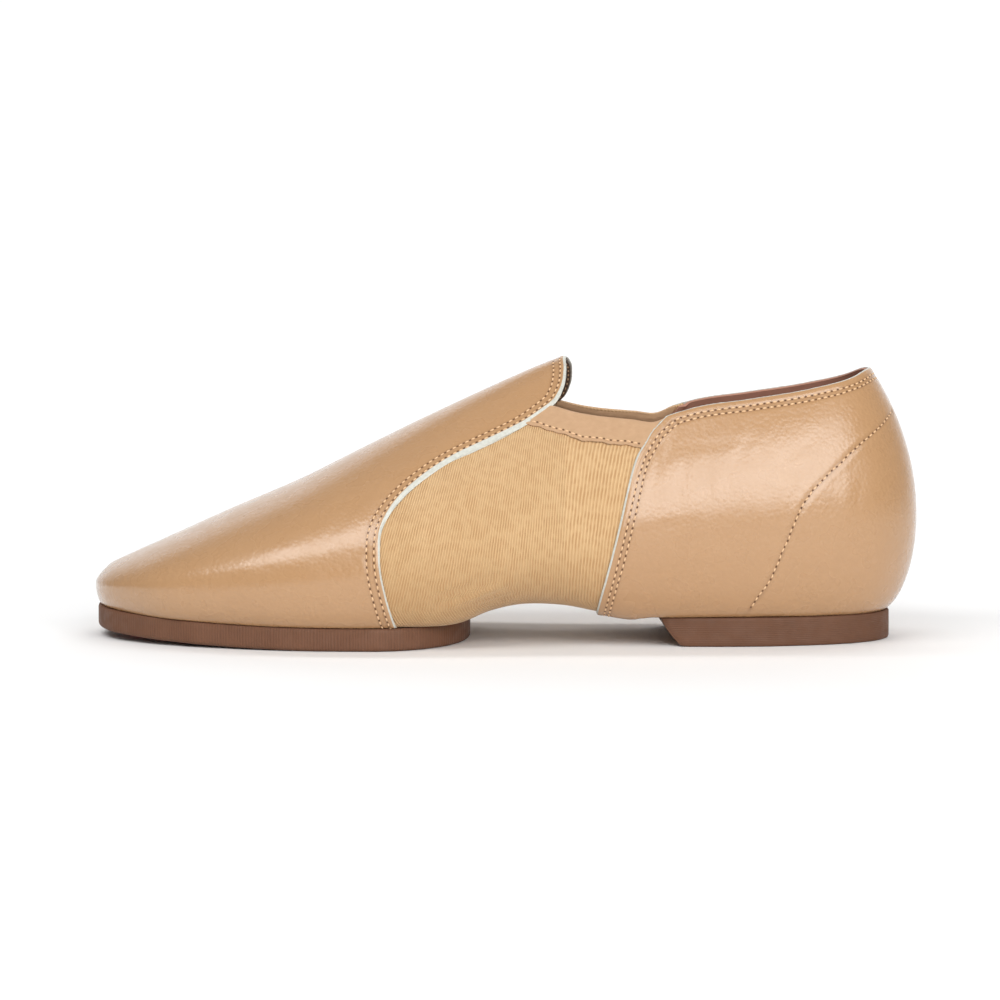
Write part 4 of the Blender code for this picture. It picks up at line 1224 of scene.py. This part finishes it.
def model_bead(name, rings, size):
    """A small ball, 2 mm across, pressed to the size of a stitch or of a needle hole's painted shade."""
    bpy.ops.object.select_all(action="DESELECT")
    bpy.ops.mesh.primitive_uv_sphere_add(segments=8, ring_count=rings, radius=MM)
    bead = bpy.context.object
    bead.name = name
    bpy.ops.transform.resize(value=size)
    bpy.ops.object.transform_apply(location=True, rotation=True, scale=True)
    return bead


LAST_TURNS, LAST_LEVELS = [np.tile(grid.ravel(), 2) for grid in
                           np.meshgrid(np.linspace(0.01, 0.99, 160), np.linspace(0.02, 3.98, 120))]
LAST_SIDES = np.repeat((OUTER, INNER), len(LAST_TURNS) // 2)
LAST_POINTS = skin(LAST_TURNS, LAST_LEVELS, LAST_SIDES)
LAST_NORMALS = skin_normal(LAST_TURNS, LAST_LEVELS, LAST_SIDES)


def skin_normal_near(point):
    far = ((LAST_POINTS - np.array(point)) ** 2).sum(1)
    return LAST_NORMALS[far.argmin()]


def set_in(line, leather, offset, sign):
    """Moves a seam's line sideways over the leather by offset mm, and gives points and normals."""
    spots = []
    for index, here in enumerate(map(Vector, line)):
        ahead = Vector(line[min(len(line) - 1, index + 3)]) - Vector(line[max(0, index - 3)])
        if ahead.length == 0:
            continue
        normal = Vector(skin_normal_near(here))
        aside = normal.cross(ahead.normalized()) * sign
        above = here + aside * offset * MM + normal * 0.6 * MM
        _, point, face_normal, _ = leather.closest_point_on_mesh(above)
        spots.append((np.array(point), np.array(face_normal)))
    return spots


def evened(rows):
    """Takes small jumps out of a line by averaging each point with its neighbours."""
    rows, reach = np.array(rows), 4
    spread = [np.clip(np.arange(len(rows)) + step, 0, len(rows) - 1)
              for step in range(-reach, reach + 1)]
    return np.mean([rows[index] for index in spread], axis=0)


def at_run(run, steps, rows):
    return np.array([np.interp(run, steps, column) for column in rows.T])


def sew(name, spots, phase):
    """Copies of the stitch along the spots, a dark disc of painted shade for a needle hole between each
    two.
    """
    places = evened([place for place, _ in spots])
    normals = evened([normal for _, normal in spots])
    steps = np.concatenate([[0], np.cumsum(np.linalg.norm(np.diff(places, axis=0), axis=1))])
    made = {stitch: [], pit_shade: []}
    begin = phase * MM
    while begin < steps[-1] - STITCH_PITCH:
        for model, run, lift in ((stitch, begin, STITCH_LIFT),
                                 (pit_shade, begin + STITCH_PITCH / 2, HOLE_SHADE_LIFT)):
            up = Vector(at_run(run, steps, normals)).normalized()
            ahead = at_run(run + 0.4 * MM, steps, places) - at_run(run - 0.4 * MM, steps, places)
            along = Vector(ahead)
            along = (along - up * along.dot(up)).normalized()
            turned = np.array([along, up.cross(along), up]).T
            copy = model.copy()
            copy.data = model.data.copy()
            bpy.context.collection.objects.link(copy)
            lifted = at_run(run, steps, places) + np.array(up) * lift
            move_points(copy, points_of(copy) @ turned.T + lifted)
            made[model].append(copy)
        begin += STITCH_PITCH
    for model, kind, look in ((stitch, "stitch", thread), (pit_shade, "hole_shade", hole_shade)):
        bpy.ops.object.select_all(action="DESELECT")
        for copy in made[model]:
            copy.select_set(True)
        bpy.context.view_layer.objects.active = made[model][0]
        bpy.ops.object.join()
        row = bpy.context.object
        row.name = f"{name}_{kind}"
        finish_piece(row, (look,), 60)


stitch = model_bead("stitch", 6, (0.66, 0.28, 0.26))
pit_shade = model_bead("needle_hole_shade", 4, (0.36, 0.32, 0.09))
STITCH_LIFT, HOLE_SHADE_LIFT = -0.03 * MM, 0.01 * MM
# The rows show inside the throat above this height, this far behind the leather's face
THROAT_FROM, THROAT_DEPTH = 64 * MM, 1.55 * MM
for side, word in ((OUTER, "outer"), (INNER, "inner")):
    seam = seam_line("vamp", side, 1.02, 3.96)
    for number, (offset, phase) in enumerate(VAMP_ROWS, 1):
        sewn = set_in(seam, vamp, offset, -side)
        sew(f"vamp_{word}_{number}", sewn, phase)
        backed = [(spot - THROAT_DEPTH * normal, -normal) for spot, normal in sewn
                  if spot[2] > THROAT_FROM]
        sew(f"throat_{word}_{number}", backed, phase)
    front = seam_line("quarter", side, 0.05, 3.0)
    edge = np.concatenate([front[:-6], rim_lines[side][6:]])
    for number, (offset, phase) in enumerate(QUARTER_ROWS, 1):
        sew(f"quarter_{word}_{number}", set_in(edge, quarter, offset, side), phase)
    sew(f"counter_{word}", set_in(counter_lines[side], quarter, 0.0, 1), 0.6)
    turn, level = band_spots(np.linspace(-0.95, 0.97, 160), BAND_ROW, side)
    sewn_edge = skin(turn, level, side, 0.4 * MM)
    sew(f"band_{word}", set_in(sewn_edge, bands[side], 0.0, 1), 0.3)
for model in (stitch, pit_shade):
    bpy.data.objects.remove(model, do_unlink=True)


# Studio: pale floor that curves up behind the shoe, soft lights, camera at the photo's angle


# The paper's whole run, its flat part, its bend and that bend's size, and where it starts
PAPER_DEPTH, PAPER_FLAT, BEND_RUN, BEND_RADIUS, PAPER_FRONT = 5.2, 3.0, 1.2, 0.8, -2.0


def lay_paper():
    """Studio paper: flat under the shoe, bent upwards behind it, then upright."""
    bpy.ops.object.select_all(action="DESELECT")
    bpy.ops.mesh.primitive_grid_add(x_subdivisions=4, y_subdivisions=60, size=2)
    floor = bpy.context.object
    floor.name = "studio_floor"
    flat = points_of(floor)
    run = (flat[:, 1] + 1) / 2 * PAPER_DEPTH
    bend = RIGHT_ANGLE * ramp(run, PAPER_FLAT, BEND_RUN)
    y = PAPER_FRONT + np.minimum(run, PAPER_FLAT) + BEND_RADIUS * np.sin(bend)
    z = BEND_RADIUS * (1 - np.cos(bend)) + np.maximum(0, run - PAPER_FLAT - BEND_RUN)
    move_points(floor, np.stack([flat[:, 0] * 3, y, z], axis=-1))
    floor.data.materials.append(Finish("studio_paper", (0.90, 0.90, 0.90), 0.9).material)
    select_only(floor)
    bpy.ops.object.shade_smooth()


def aimed(place, aim):
    return (Vector(aim) - Vector(place)).to_track_quat("-Z", "Y").to_euler()


def softbox(name, place, aim, size, power, mirrored):
    """An area light; only one that is mirrored shows as a highlight in the leather."""
    bpy.ops.object.light_add(type="AREA", location=place)
    lamp = bpy.context.object
    lamp.name = name
    lamp.data.shape = "RECTANGLE"
    lamp.data.size, lamp.data.size_y = size
    lamp.data.energy = power
    lamp.visible_glossy = mirrored
    lamp.rotation_euler = aimed(place, aim)


SHOE_MIDDLE = (0.0, 0.0, 0.03)
CAMERA_PLACE, CAMERA_AIM = (0.052, -0.999, 0.122), (-0.0009, 0.0, 0.0415)
LENS, SENSOR_WIDTH = 119.2, 36.0
AIR_STRENGTH = 0.21

lay_paper()
softbox("front_softbox", (0.67, -1.43, 0.74), SHOE_MIDDLE, (1.6, 1.0), 23.0, True)
softbox("top_softbox", (-0.55, -0.85, 1.20), SHOE_MIDDLE, (1.2, 0.55), 10.0, True)
softbox("rear_softbox", (0.4, 1.5, 1.3), SHOE_MIDDLE, (1.2, 0.8), 4.0, False)
softbox("backdrop_light", (0.0, 0.5, 1.6), (0.0, 1.8, 0.2), (2.4, 0.6), 20.0, False)
world = bpy.context.scene.world or bpy.data.worlds.new("studio_air")
bpy.context.scene.world = world
world.use_nodes = True
air = world.node_tree.nodes["Background"]
air.inputs["Color"].default_value = (1.0, 1.0, 1.0, 1)
air.inputs["Strength"].default_value = AIR_STRENGTH
bpy.context.scene.view_settings.view_transform = "Standard"

bpy.ops.object.camera_add(location=CAMERA_PLACE)
camera = bpy.context.object
camera.rotation_euler = aimed(CAMERA_PLACE, CAMERA_AIM)
camera.data.lens = LENS
camera.data.sensor_width = SENSOR_WIDTH
bpy.context.scene.camera = camera
